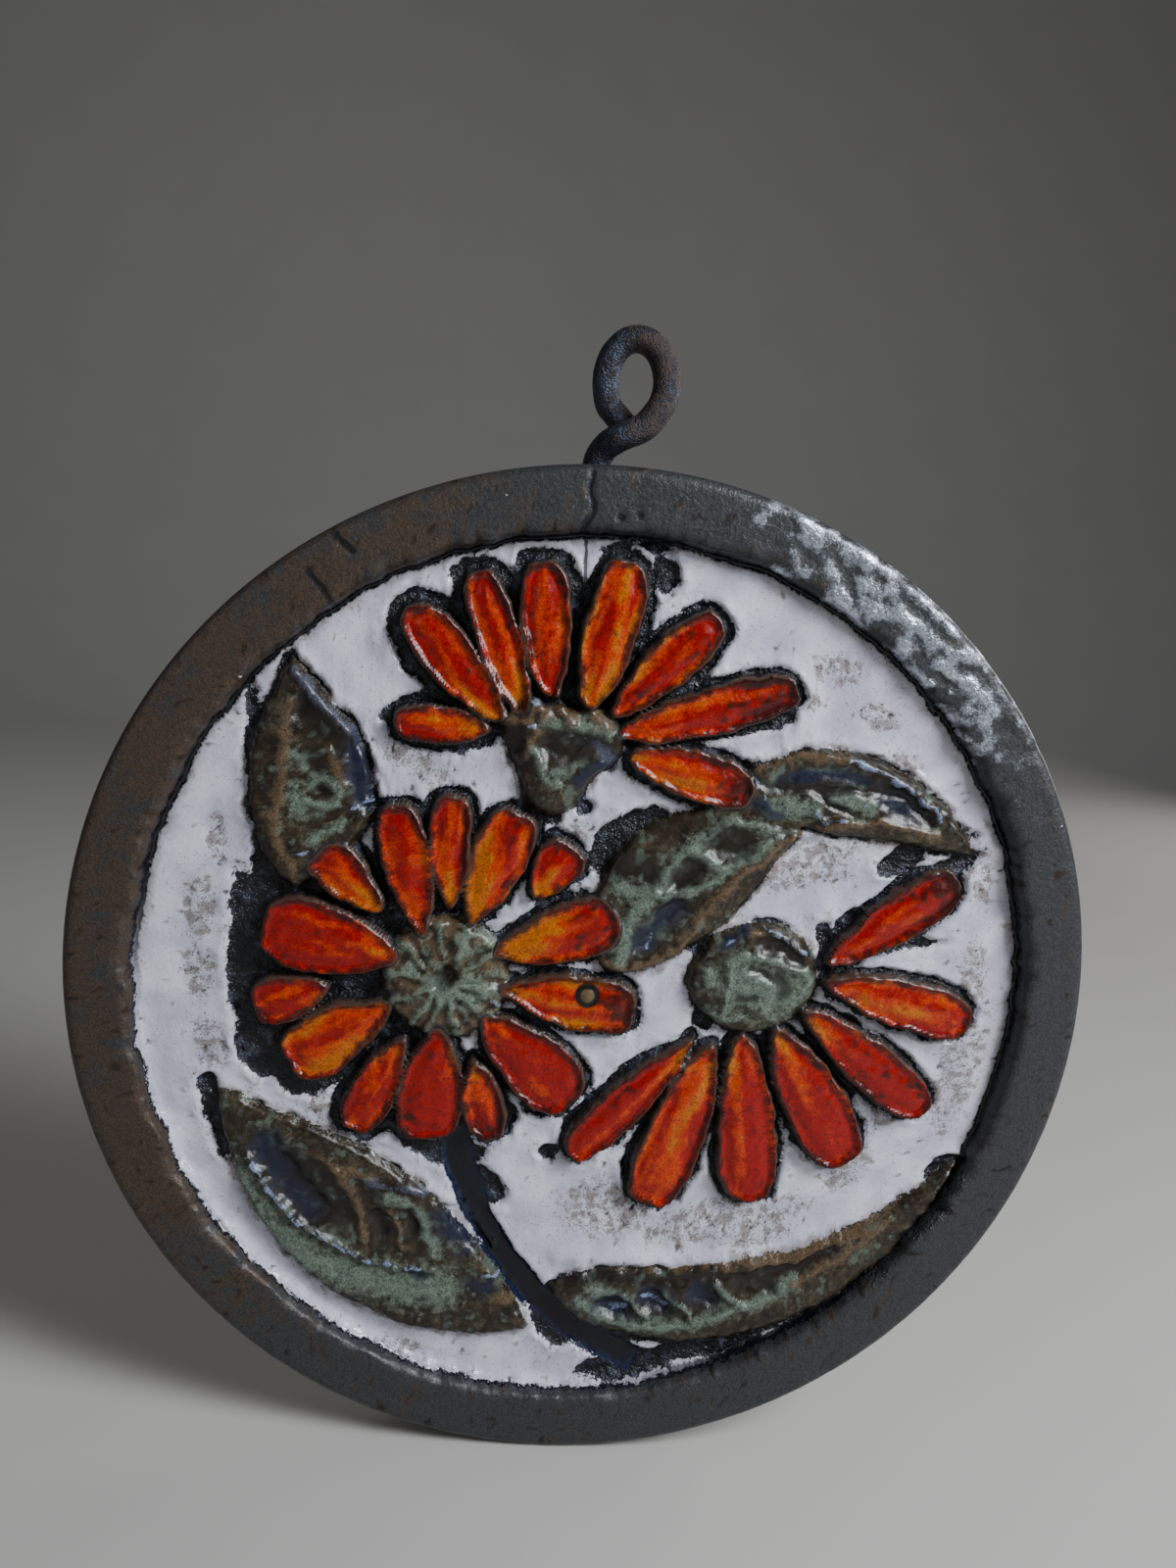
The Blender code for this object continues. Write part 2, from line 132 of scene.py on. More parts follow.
EYE_MIDDLE = Vector((
    SHANK_OFFSET + EYE_OFFSET, DISC_RADIUS + NECK_HEIGHT + ROD_RADIUS + EYE_HEIGHT / 2, ROD_DEPTH
))
NAIL_POINT = Vector((EYE_MIDDLE.x, EYE_MIDDLE.y + EYE_HEIGHT / 2))
HANG_LEAN = math.atan2(NAIL_POINT.x, NAIL_POINT.y)
FACE = (
    Matrix.Translation((0, (ROD_DEPTH + EYE_FORWARD) * MM, -NAIL_POINT.length * MM))
    @ Matrix.Rotation(math.radians(90), 4, "X")
    @ Matrix.Rotation(HANG_LEAN, 4, "Z")
    @ Matrix.Scale(MM, 4)
)

# A petal's root and tip are angles in degrees and distances in shares of the flower's spread,
# as its width is. The moat is how far the bare dark clay reaches beyond it. Gold says how much
# ochre runs through its red, and dusk how dark its tip has burnt.
Petal = namedtuple("Petal", "root_angle root tip_angle tip width moat gold dusk")
# A flower's middle and spread are shares of the field's radius.
Flower = namedtuple("Flower", "middle spread taper petals")
# A leaf's ends, bend and widths are shares of the field's radius, as in the solid.
Leaf = namedtuple("Leaf", "base tip bend left right belly moat")
Heart = namedtuple("Heart", "middle radii lobes lobe_turn swing", defaults=(0, 0, 0))
# An oval dab: its middle, its length and width, and its turn in degrees.
Stroke = namedtuple("Stroke", "x y length width turn")
Crack = namedtuple("Crack", "depth width path")
# What the potter pressed, rolled and painted on the leaves and hearts: the glaze that lies there,
# how far the clay stands up or is pushed in, the mark's width and its path.
Mark = namedtuple("Mark", "glaze lift width path")


def rows(kind, table):
    return [kind(*row) for row in table]


def paired(numbers):
    """A path from a row that gives its points' x and y in turn."""
    return list(zip(numbers[::2], numbers[1::2]))


TOP_DAISY = Flower((-0.048, 0.524), 0.45, 0.35, rows(Petal, (
    (160, 0.36, 168, 0.83, 0.19, 2.5, 0.35, 0.1), (150, 0.33, 136, 1, 0.25, 4, 0.45, 0.3),
    (134, 0.27, 115, 0.95, 0.22, 4, 0.45, 0.5), (103, 0.27, 96, 0.92, 0.25, 3.5, 0.5, 0.1),
    (62, 0.24, 71, 0.96, 0.27, 2.8, 0.95, 0.2), (38, 0.29, 41, 0.98, 0.24, 2.2, 0.45, 0.5),
    (18, 0.28, 15, 1.18, 0.24, 1.8, 0.4, 0.9), (-1, 0.31, -12, 0.94, 0.24, 1.8, 0.65, 0.7),
)))
LEFT_DAISY = Flower((-0.311, 0.028), 0.4, 0.7, rows(Petal, (
    (113, 0.27, 105, 1.01, 0.28, 1.5, 0.4, 0.2), (86, 0.38, 87, 1.03, 0.25, 1.8, 0.45, 0.4),
    (66, 0.33, 66, 1.02, 0.32, 1.8, 0.75, 0.4), (42, 0.66, 47, 1.02, 0.28, 1.5, 0.3, 0.1),
    (26, 0.3, 19, 1, 0.35, 1.5, 0.75, 0.4), (-11, 0.3, -12, 1.08, 0.33, 1.5, 0.7, 0.9),
    (-48, 0.28, -47, 1.03, 0.4, 1.5, 0.2, 0.1), (-73, 0.48, -76, 0.98, 0.25, 1.8, 0.45, 0.5),
    (-99, 0.28, -98, 0.96, 0.39, 2.5, 0.3, 0.1), (-126, 0.4, -122, 1.03, 0.27, 3, 0.35, 0.5),
    (-157, 0.33, -152, 0.99, 0.37, 4, 0.65, 0.2), (-177, 0.62, -173, 1.06, 0.28, 5.5, 0.55, 0.1),
    (153, 0.28, 161, 1.04, 0.42, 6.5, 0.1, 0.1), (130, 0.5, 132, 0.99, 0.27, 2, 0.45, 0.2),
)))
RIGHT_DAISY = Flower((0.379, 0.02), 0.56, 0.6, rows(Petal, (
    (8, 0.29, 25, 0.9, 0.21, 1.8, 0.25, 0.8), (-6, 0.28, -14, 0.92, 0.22, 1.5, 0.45, 0.2),
    (-36, 0.25, -40, 0.94, 0.22, 1.5, 0.1, 0.1), (-71, 0.23, -64, 0.91, 0.27, 1.5, 0.3, 0.1),
    (-101, 0.24, -90, 0.98, 0.26, 1.7, 0.15, 0), (-120, 0.33, -114, 1.07, 0.26, 1.7, 0.55, 0.3),
    (-133, 0.36, -135, 1.06, 0.19, 1.7, 0.1, 0.1),
)))
# Four leaves: the second form and the third are one leaf, folded over
LEAVES = rows(Leaf, (
    ((-0.63, 0.235), (-0.615, 0.73), 0.02, 0.075, 0.19, 0.85, 1.2),
    ((0.04, 0.04), (0.5, 0.41), 0, 0.19, 0.09, 0.75, 0.4),
    ((0.33, 0.44), (0.87, 0.285), 0.06, 0.09, 0.095, 0.8, 0.8),
    ((-0.14, -0.83), (-0.815, -0.22), 0.09, 0.125, 0.2, 0.95, 0.1),
    ((-0.09, -0.73), (0.87, -0.45), -0.18, 0.1, 0.09, 0.65, 0.2),
))
TOP_HEART = Heart((-0.06, 0.53), (0.122, 0.12), 3, 18, 0.2)
LEFT_HEART = Heart((-0.311, 0.028), (0.14, 0.14))
RIGHT_HEART = Heart((0.376, 0.01), (0.145, 0.128))
STEM = ((-0.305, -0.34), (-0.22, -0.78), (0.112, -0.933))
STEM_WIDTH = 8

# Marks by the form they lie on: glaze, lift, width and the points of the path.
# The pale blue glint marks are painted highlights, glints of light on ridges and edges.
LEFT_LEAF = (
    ("tan", 0.9, 3, -77, 80, -79, 70, -80, 60, -83, 50, -82, 42, -78, 34),
    ("slate", 1, 2.6, -76, 88, -72, 82, -66, 76, -60, 70, -56, 65, -53, 59),
    ("soot", -1, 6, -74, 78, -70, 72, -66, 68), ("soot", -0.5, 4, -72, 66, -70, 62),
    ("navy", -1.3, 7, -61, 67, -60, 59, -58, 53), ("soot", -0.8, 4, -57, 63, -54, 57),
    ("celadon", 0.7, 2.6, -73, 58, -69, 60, -66, 57, -66, 52, -70, 51, -74, 54),
    ("soot", -1, 2.4, -71, 57, -68, 55), ("celadon", 0.3, 4.5, -77, 56, -76, 51),
    ("celadon", 0.2, 3, -76, 66, -74, 62), ("celadon", 0.3, 2.5, -73, 42, -70, 45, -65, 47),
    ("tan", 0.5, 2, -68, 68, -66, 62, -64, 57),
    ("frost", 0.5, 1.5, -79, 39.5, -76.5, 38.5, -74, 40),
    ("frost", 0.4, 1.8, -61, 50.5, -58, 53, -54, 54.5),
)
MIDDLE_LEAF = (
    ("celadon", 0.8, 4.5, 9, 8, 10, 15, 13, 21, 19, 27, 23, 33, 28, 39, 34, 43),
    ("celadon", 0.8, 3, 34, 43, 39, 46, 46, 45, 53, 42),
    ("celadon", 0.5, 4.5, 8, 29, 12, 26, 18, 27),
    ("celadon", 0.8, 3.5, 19, 26, 27, 26, 33, 29, 38, 33, 44, 36, 50, 40),
    ("celadon", 0.8, 4, 28, 38, 32, 36, 36, 33), ("soot", -1.5, 6.5, 25, 30.5, 29, 32.5),
    ("soot", -1.5, 9, 36, 41, 41, 39), ("navy", -1.5, 7, 15, 13, 21, 19, 25, 22),
    ("frost", -0.2, 2.2, 16, 12, 17.5, 15), ("soot", -0.6, 8, 8, 34, 14, 34, 17, 32),
    ("umber", -0.3, 8, 20, 46, 30, 47),
    ("tan", 0.9, 2.8, 5, 7, 12, 5, 19, 7, 25, 11, 30, 17, 34, 22, 39, 28, 45, 33, 51, 38,
     58, 43),
)
RIGHT_LEAF = (
    ("tan", 1, 3.2, 46, 62, 55, 64, 63, 64, 70, 63),
    ("frost", 1.1, 2.2, 71, 63, 78, 60.5, 84, 57, 90, 53, 95, 48.5, 98, 45),
    ("navy", -0.7, 4, 52, 57.5, 60, 58, 68, 59, 76, 57),
    ("celadon", -0.1, 1.8, 60, 59.5, 70, 60),
    ("soot", -1, 2.6, 46, 57, 52, 55, 60, 54.5, 70, 54.5, 78, 54),
    ("celadon", 0.5, 5, 50, 50, 56, 50, 62, 49), ("navy", 0, 4, 46, 51, 52, 48),
    ("frost", 1, 1.6, 62, 49, 66, 46, 71, 45.5), ("soot", -0.9, 2, 64, 53, 68, 50, 73, 47.5),
    ("celadon", 0.5, 3.5, 68, 53, 74, 51, 78, 49), ("frost", 0.5, 1.2, 75.5, 49.5, 77, 51.5),
    ("navy", -1.1, 7, 82, 52, 90, 48), ("soot", -0.8, 4, 80, 55, 88, 52, 95, 45),
    ("tan", 0.8, 2.6, 56, 41.5, 64, 43.5, 72, 45, 80, 45, 90, 43, 97, 41),
)
LOWER_LEFT_LEAF = (
    ("frost", 1.7, 2.2, -94, -46, -90, -54, -84, -62, -77, -69, -70, -74, -62, -78, -53, -81,
     -44, -83),
    ("celadon", 0.3, 11, -98, -52, -93, -65, -84, -74, -74, -80, -62, -85, -50, -89, -42, -89),
    ("slate", 1, 2, -62, -55, -52, -57.5, -42, -60, -36, -65, -31, -71, -27, -78),
    ("navy", -1.7, 9, -89, -43, -84, -52, -77, -62),
    ("soot", -0.6, 10, -80, -49, -73, -58, -70, -66),
    ("tan", 1, 3, -70, -51, -66, -57, -64, -64, -63, -72),
    ("soot", -1.4, 4, -59, -65, -57.5, -71), ("soot", -0.9, 3, -61, -59, -58, -60),
    ("tan", 0.9, 1.8, -55, -64, -53.5, -70, -52.5, -75),
    ("soot", -1.3, 3.5, -50, -64, -49, -71),
    ("celadon", 0.6, 3, -58, -60, -51, -61, -46, -66, -45, -72, -43, -78),
    ("navy", -1.5, 9, -40, -68, -34, -74), ("soot", -0.6, 4, -36, -66, -29, -76),
    ("navy", -0.6, 3, -49, -83.5, -47, -84), ("navy", -0.7, 5, -33, -88, -29, -89),
    ("frost", 0.5, 1.6, -30, -85, -26, -86), ("tan", 0.3, 3, -27, -92, -22, -93),
    ("soot", -0.9, 2.4, -24, -96.5, -20, -97), ("tan", 0.6, 2.6, -78, -46, -70, -50, -62, -54),
)
LOWER_RIGHT_LEAF = (
    ("tan", 1.1, 4, -9, -82, 0, -82, 10, -83, 25, -84, 40, -84.5, 55, -84, 65, -81, 75, -77,
     83, -72, 88, -67),
    ("soot", -1, 3, -8, -87, 5, -88, 20, -89, 35, -89, 50, -88, 62, -86, 72, -81),
    ("navy", -1.7, 7, 5, -96.5, 11, -97.5), ("frost", -0.4, 2.2, 6, -96.5, 12, -98),
    ("navy", -1.7, 7.5, 18, -94, 22, -96), ("frost", -0.3, 2.2, 17, -94, 24, -97),
    ("navy", -1.7, 7, 32, -93, 36, -95), ("soot", -1.1, 5, 45, -91, 53, -92),
    # The three slanting celadon ridges are partly painted highlight: their pale colour stands for
    # light on the ridges as well as for the glaze
    ("celadon", 1.7, 1.8, 10, -93, 13, -96, 17, -100),
    ("celadon", 1.7, 1.8, 22, -93, 27, -97, 31, -101),
    ("celadon", 1.2, 2, 37, -91, 41, -94, 46, -98),
    ("celadon", 0.9, 3.5, -3, -94, 3, -99, 11, -102, 20, -103.5, 30, -103, 40, -100, 50, -97,
     60, -92), ("tan", 0.8, 3, 60, -91, 70, -86, 80, -79, 88, -72),
    ("celadon", 0.3, 3.5, 1, -91, 7, -92), ("celadon", 0.4, 3.5, 56, -92, 60, -89),
    ("navy", 0, 4, -8, -85, -3, -86),
)
TOP_HEART_MARKS = (
    ("frost", 2.6, 2, -15, 81, -13, 79), ("frost", 2.6, 1.6, -7, 80.5, -6, 78),
    ("tan", 1.8, 5, -14, 78, -11, 76), ("tan", 1.8, 4, -7, 77, -4, 75),
    ("tan", 1, 4, 2, 76, 5, 73), ("navy", -0.8, 2.4, -11, 80, -10, 78.5),
    ("celadon", 0.9, 3, -12, 74, -6, 73.5, 0, 73, 6, 71),
    ("tan", 1.2, 2.4, -22, 74, -19, 74.5, -15, 73.5, -13, 71, -15, 68, -17, 64),
    ("frost", 0.8, 1.6, -15.5, 73, -13.5, 73),
    ("celadon", 0.7, 2.4, -14, 67, -13, 63, -11, 59, -8, 57), ("soot", -1.9, 9, -9, 67, -3, 67),
    ("frost", 0.4, 1.8, -5, 70.5, -1, 69.5), ("celadon", 0, 2.6, -9, 60.5, -5, 61.5, -1, 63),
    ("slate", -0.8, 4, 2, 68, 5, 66, 6, 63), ("navy", 0.2, 3, -3, 58, 1, 61, 4, 62),
    ("umber", 0.7, 3, 9, 69, 11, 65), ("soot", -0.6, 5, -19, 70, -18, 62),
    ("frost", 0.9, 1.4, 9, 70, 12, 67.5),
)
RIGHT_HEART_MARKS = (
    ("celadon", 0, 15, 43, 1, 52, -2), ("umber", -0.3, 6, 38, 9, 36, 2),
    ("navy", 0.2, 3, 37, 12, 41, 13.5, 44, 16), ("frost", 0.5, 1.4, 38, 12, 42, 14),
    ("tan", 0.7, 2.6, 45, 15, 48, 14.5), ("frost", 0.9, 1.6, 50, 16, 56, 12, 62, 8),
    ("soot", -1.2, 4.5, 49, 12, 54, 10, 58, 6.5),
    ("celadon", 0.7, 2.4, 39, 6, 43, 8.5, 48, 8, 54, 6, 60, 4, 62, 1, 59, -3, 54, -5),
    ("celadon", 0.8, 2.2, 39, 6, 39, 0, 38.5, -5, 37.5, -9), ("celadon", 0.4, 3, 33, 5, 34, 1),
    ("celadon", 0.6, 2.6, 33, -7, 37, -10, 43, -9), ("celadon", 0.5, 3.6, 49, -8, 51, -10),
    ("celadon", 0.5, 1.8, 44, 4, 47, 1, 51, 0), ("soot", -1, 2, 46, 5, 49, 3, 52, 1),
    ("soot", -0.7, 3, 53, 3, 55, 0, 54, -3), ("umber", -0.5, 3, 36, 3, 36, -5),
    ("soot", -0.6, 2, 42, -3, 46, -4),
)
LEFT_HEART_MARKS = (
    ("soot", -2.6, 5, -40, 3, -38, 5), ("frost", 0.7, 1.2, -36, 7, -34.5, 6.5),
    ("frost", 0.9, 1.4, -30, -1.5, -27, -3, -23, -4.5),
    ("celadon", 0.3, 5, -42, 3, -38, -2, -33, 3, -29, 1, -33, -4),
    ("celadon", 0.2, 3.5, -49, 8, -46, 7), ("celadon", 0.2, 3, -28, 16, -26, 14),
    ("celadon", 0.2, 3, -34, 16, -33, 10), ("navy", 0.1, 1.8, -55, 3, -53.5, 0),
    ("frost", 0.2, 1, -54.5, 2, -54, 1),
)
DAISY_MARKS = (
    ("nub", 1.2, 4.2, 0.2, -2.2, 0.4, -2.2), ("soot", -0.9, 7, 0.2, -2.2, 0.4, -2.2),
    ("frost", 0, 1.5, 43, 62, 46, 58, 48, 53),
)
MARKS = [
    Mark(glaze, lift, width, paired(path))
    for glaze, lift, width, *path in (
        *LEFT_LEAF, *MIDDLE_LEAF, *RIGHT_LEAF, *LOWER_LEFT_LEAF, *LOWER_RIGHT_LEAF,
        *TOP_HEART_MARKS, *RIGHT_HEART_MARKS, *LEFT_HEART_MARKS, *DAISY_MARKS,
    )
]
# More bare dark clay, beside the leaves: the width of each stretch and its path.
BARE_CLAY = [
    (width, paired(path))
    for width, *path in (
        (4.5, -77, 90, -81, 80, -84, 70, -85.5, 60, -86, 50, -86, 40, -89, 30),
        (5, 0, -104, 15, -108, 30, -108, 45, -104.5, 60, -99, 75, -90, 88, -80, 98, -69, 105,
         -60), (2, 36, 25, 41, 28.5, 46, 32), (3, 90, 37.5, 97, 37, 104, 37, 106, 33),
        (3, 100, 41, 104, 36, 103, 31), (3.5, -104, -25, -101, -31, -97, -38),
    )
]
SPECKS = ((-50, 124), (-20, 132), (-95, 94), (-89, 86.5), (-14, 138), (130, 44.5))
CRACKS = [
    Crack(depth, width, paired(path))
    for depth, width, *path in (
        (0.7, 0.9, 2.5, 139, 0.8, 133, 1.5, 128, -1, 123),
        (0.4, 0.6, -1, 123, 0, 121.5, -0.5, 115, -0.7, 108.8),
        (0.5, 0.9, -64, 123, -62, 120.5, -59, 118), (0.5, 0.9, -71, 113, -68, 109, -65, 103),
        (0.8, 1, 8, 126.8, 9, 126.6), (0.8, 1.2, 12.5, 127.3, 13.5, 127),
    )
]

# Bare dark clay beyond the moats
DARK = rows(Stroke, (
    (-86, 58, 52, 6, 93), (-74, 84, 15, 4, -70), (12, 41, 26, 16, 30), (-103, -36, 21, 5, -78),
    (-43, -44, 32, 12, -28), (-29, -58, 16, 8, -50), (12, -117, 32, 9, 5), (35, -112, 35, 9, 12),
    (60, -101, 32, 9, 28), (82, -87, 26, 9, 42), (98, -70, 23, 10, 52), (104, -60, 12, 10, 52),
    (-11, -104, 17, 8, -40), (18, 120, 10, 5, -5), (7, 119, 7, 3, 15), (-33, 66, 3, 2, 0),
    (-11, -49, 6, 4, 0), (14, -67, 2, 2, 0), (89, 35, 16, 8, 30), (101, 38, 13, 4, 15),
    (106, 34, 4, 9, -70), (76, 17, 16, 7, 25), (94, 10, 12, 3, 5), (86, 11, 8, 3, -30),
    (-20, 104, 7, 10, 20), (-48, 99, 12, 9, 35), (30, 99, 13, 9, -40), (50, 74, 16, 7, 10),
    (10, 111, 10, 6, 0), (21, 111, 7, 11, 20), (-52, 75, 8, 5, 0), (-10, 48, 7, 5, 0),
    (0, 50, 5, 4, 20), (-91, 24, 10, 23, 0), (-93, 5, 9, 39, 0), (-90, -16, 12, 21, 10),
    (-80, -26, 16, 8, -40), (-2, -25, 5, 11, 20), (33, -11, 6, 7, 0), (68, 9, 6, 16, 10),
    (0, -111, 8, 4, -30),
))
# Brown stains of the white
STAIN = rows(Stroke, (
    (-46, 66, 15, 8, 0), (-41, 60, 10, 5, 0), (-21, 42, 8, 4, 0), (-2, 42, 7, 8, 40),
    (16, 59, 10, 5, 20), (-45, 94, 5, 5, 0), (6, -67, 25, 17, 0), (40, -72, 42, 12, 8),
    (17, -52, 11, 8, 0), (58, 33, 30, 11, 15), (67, 30, 14, 4, 0), (-70, -35, 16, 8, -20),
    (-42, -97, 22, 6, -10), (-56, -108, 17, 5, -10), (76, -57, 17, 9, 40), (84, -42, 14, 6, 50),
    (28, -75, 14, 6, 0), (51, -78, 17, 5, 10), (95, 83, 8, 5, 0), (78, 98, 8, 4, 0),
    (88, 62, 11, 4, -20), (-105, 6, 8, 15, 0), (-98, 43, 5, 13, 0), (110, 1, 7, 17, 0),
    (111, 29, 6, 17, 0), (11, -40, 14, 8, 0), (60, 78, 8, 5, 0), (107, -28, 12, 34, -15),
    (-75, 96, 10, 4, 30), (68, 87, 12, 7, -20), (80, 74, 12, 6, -30), (-104, 24, 8, 16, 0),
    (-103, -14, 8, 14, 10),
))

# What each vertex of the disc carries for the shader
FIELDS = (
    "petal", "warmth", "burnt", "body", "dark", "stem", "stain", "hole", "rim", "climbs", "foil",
    "silver", "crack", "lift", "streaks", "rusty", "speck", "rough", "broad", "blotch", "mottle",
    "back", *sorted({mark.glaze for mark in MARKS}),
)


def smooth(value, low, high):
    """0 below low, 1 above high, and an even slope between them."""
    share = np.clip((value - low) / (high - low), 0, 1)
    return share * share * (3 - 2 * share)


def blend(first, second, share):
    return first + (second - first) * share


def grain(points, size, seed, octaves=1):
    """Random heights between about -1 and 1, which change over the given size."""
    return np.array([
        noise.fractal(Vector((x / size, y / size, seed)), 1.0, 2.0, octaves) for x, y in points
    ])


def wander(points, size, seed):
    """Random steps in the plane, up to about 1 long."""
    return np.array([
        noise.noise_vector(Vector((x / size, y / size, seed)))[:2] for x, y in points
    ])


def pits(points, spacing, share, seed):
    """Round pits of many sizes in a share of the places, 1 at the middle of a pit."""
    depths = []
    for (x, y), odds in zip(points, np.broadcast_to(share, len(points))):
        distances, centres = noise.voronoi(Vector((x / spacing, y / spacing, seed)))
        luck = abs(noise.noise(centres[0] * 7.3)) * 2
        size = 0.18 + 0.4 * abs(noise.noise(centres[0] * 3.1 + Vector((9, 0, 0))))
        depths.append(max(0.0, 1 - distances[0] / size) if luck < odds else 0.0)
    return np.array(depths)


def polar(angle, distance):
    return Vector((math.cos(math.radians(angle)), math.sin(math.radians(angle)))) * distance


def depth_inside(points, outline):
    """How far each point lies inside a closed outline, and less than nothing outside it."""
    outline = np.array(outline)
    depth = np.full(len(points), -float(REACH))
    low, high = outline.min(axis=0) - REACH, outline.max(axis=0) + REACH
    near = np.flatnonzero(((points > low) & (points < high)).all(axis=1))
    x, y = points[near, 0, None], points[near, 1, None]
    start_x, start_y = outline.T
    step_x, step_y = (np.roll(outline, -1, axis=0) - outline).T
    along = ((x - start_x) * step_x + (y - start_y) * step_y) / (step_x ** 2 + step_y ** 2)
    along = np.clip(along, 0, 1)
    away = np.hypot(x - start_x - along * step_x, y - start_y - along * step_y).min(axis=1)
    spans = (start_y > y) != (start_y + step_y > y)
    slope = step_x / np.where(step_y == 0, 1e-9, step_y)
    inside = (spans & (x < start_x + slope * (y - start_y))).sum(axis=1) % 2 == 1
    depth[near] = np.maximum(np.where(inside, away, -away), -REACH)
    return depth


def away_from_path(points, path):
    """The distance from each point to an open line."""
    nearest = np.full(len(points), math.inf)
    for start, end in zip(path, path[1:]):
        start, step = np.array(start), np.subtract(end, start)
        along = np.clip((points - start) @ step / (step @ step), 0, 1)
        away = points - start - along[:, None] * step
        nearest = np.minimum(nearest, np.linalg.norm(away, axis=1))
    return nearest


def dab(points, stroke):
    """1 at the middle of a dab, 0 on its edge and less outside it."""
    turn = math.radians(stroke.turn)
    x, y = points[:, 0] - stroke.x, points[:, 1] - stroke.y
    along = (x * math.cos(turn) + y * math.sin(turn)) / (stroke.length / 2)
    across = (y * math.cos(turn) - x * math.sin(turn)) / (stroke.width / 2)
    return 1 - np.hypot(along, across)


def dabs(points, strokes):
    return np.max([dab(points, stroke) for stroke in strokes], axis=0)


def petal_ends(flower, petal):
    middle, spread = Vector(flower.middle) * FIELD_RADIUS, flower.spread * FIELD_RADIUS
    root = middle + polar(petal.root_angle, petal.root * spread)
    tip = middle + polar(petal.tip_angle, petal.tip * spread)
    return root, tip, petal.width * spread


def petal_outline(flower, petal, sides=44):
    root, tip, width = petal_ends(flower, petal)
    axis = (tip - root).normalized()
    across = Vector((-axis.y, axis.x))
    turns = [2 * math.pi * i / sides for i in range(sides)]

    def drop(turn):
        side = math.sin(turn)
        wide = abs(side) ** PETAL_FULLNESS * math.sin(turn / 2) ** flower.taper
        return math.copysign(wide, side)

    half = width / 2 / max(drop(turn) for turn in turns)
    length = (tip - root).length
    return [
        root + axis * length * (1 - math.cos(turn)) / 2 + across * half * drop(turn)
        for turn in turns
    ]


def curve_points(start, handle_1, handle_2, end, count):
    """Points along a curve with the direction across each."""
    line = interpolate_bezier(start, handle_1, handle_2, end, count)
    spine = []
    for i, point in enumerate(line):
        ahead = (line[min(i + 1, count - 1)] - line[max(i - 1, 0)]).normalized()
        spine.append((point.to_2d(), Vector((-ahead.y, ahead.x))))
    return spine


def leaf_outline(leaf, steps=26):
    base, tip = Vector(leaf.base) * FIELD_RADIUS, Vector(leaf.tip) * FIELD_RADIUS
    chord = tip - base
    side = Vector((-chord.y, chord.x)).normalized() * leaf.bend * FIELD_RADIUS * 4 / 3
    spine = curve_points(base, base + chord / 3 + side, tip - chord / 3 + side, tip, steps + 1)
    left, right = [], []
    for i, (point, across) in enumerate(spine):
        share = i / steps
        full = max(0.0, math.sin(math.pi * share ** leaf.belly)) ** BLADE_FULLNESS
        left.append(point + across * leaf.left * FIELD_RADIUS * full)
        right.append(point - across * leaf.right * FIELD_RADIUS * full)
    return left + right[-2:0:-1]


def heart_outline(heart, sides=36):
    middle, radii = Vector(heart.middle) * FIELD_RADIUS, Vector(heart.radii) * FIELD_RADIUS
    outline = []
    for i in range(sides):
        angle = 2 * math.pi * i / sides
        reach = 1 + heart.swing * math.cos(heart.lobes * (angle - math.radians(heart.lobe_turn)))
        out = Vector((radii.x * math.cos(angle), radii.y * math.sin(angle)))
        outline.append(middle + out * reach)
    return outline


def stem_outline():
    start, bend, end = (Vector(share) * FIELD_RADIUS for share in STEM)
    spine = curve_points(start, start.lerp(bend, 2 / 3), end.lerp(bend, 2 / 3), end, 20)
    left = [point + across * STEM_WIDTH / 2 for point, across in spine]
    right = [point - across * STEM_WIDTH / 2 for point, across in spine]
    return left + right[::-1]


def lay_out(points):
    """The places of the relief: for each point how deep it lies inside each kind of form."""
    petal = np.full(len(points), -float(REACH))
    dark = np.full(len(points), -float(REACH))
    along, across, gold, dusk, number = (np.zeros(len(points)) for _ in range(5))
    for flower in (TOP_DAISY, LEFT_DAISY, RIGHT_DAISY):
        for one in flower.petals:
            root, tip, width = petal_ends(flower, one)
            depth = depth_inside(points, petal_outline(flower, one))
            dark = np.maximum(dark, depth + one.moat)
            winner = depth > petal
            petal[winner] = depth[winner]
            axis = np.array(tip - root)
            away = points - np.array(root)
            along[winner] = (away @ axis / (axis @ axis))[winner]
            side = np.array((-axis[1], axis[0])) / np.hypot(*axis)
            across[winner] = (away @ side / width)[winner]
            gold[winner], dusk[winner], number[winner] = one.gold, one.dusk, root.x + tip.y
    leaf_depths = [depth_inside(points, leaf_outline(leaf)) for leaf in LEAVES]
    for depth, leaf in zip(leaf_depths, LEAVES):
        dark = np.maximum(dark, depth + leaf.moat)
    hearts = [depth_inside(points, heart_outline(h)) for h in (TOP_HEART, LEFT_HEART, RIGHT_HEART)]
    dark = np.maximum(dark, np.max(hearts, axis=0) + 0.6)
    for stroke in DARK:
        dark = np.maximum(dark, dab(points, stroke) * min(stroke.length, stroke.width) / 2)
    for width, path in BARE_CLAY:
        dark = np.maximum(dark, width / 2 - away_from_path(points, path))
    return SimpleNamespace(
        petal=petal, along=along, across=across, gold=gold, dusk=dusk, number=number,
        leaf=np.max(leaf_depths, axis=0), heart=np.max(hearts, axis=0), left_heart=hearts[1],
        dark=dark, stem=depth_inside(points, stem_outline()),
        rim=np.hypot(*points.T) - INNER_WALL,
    )


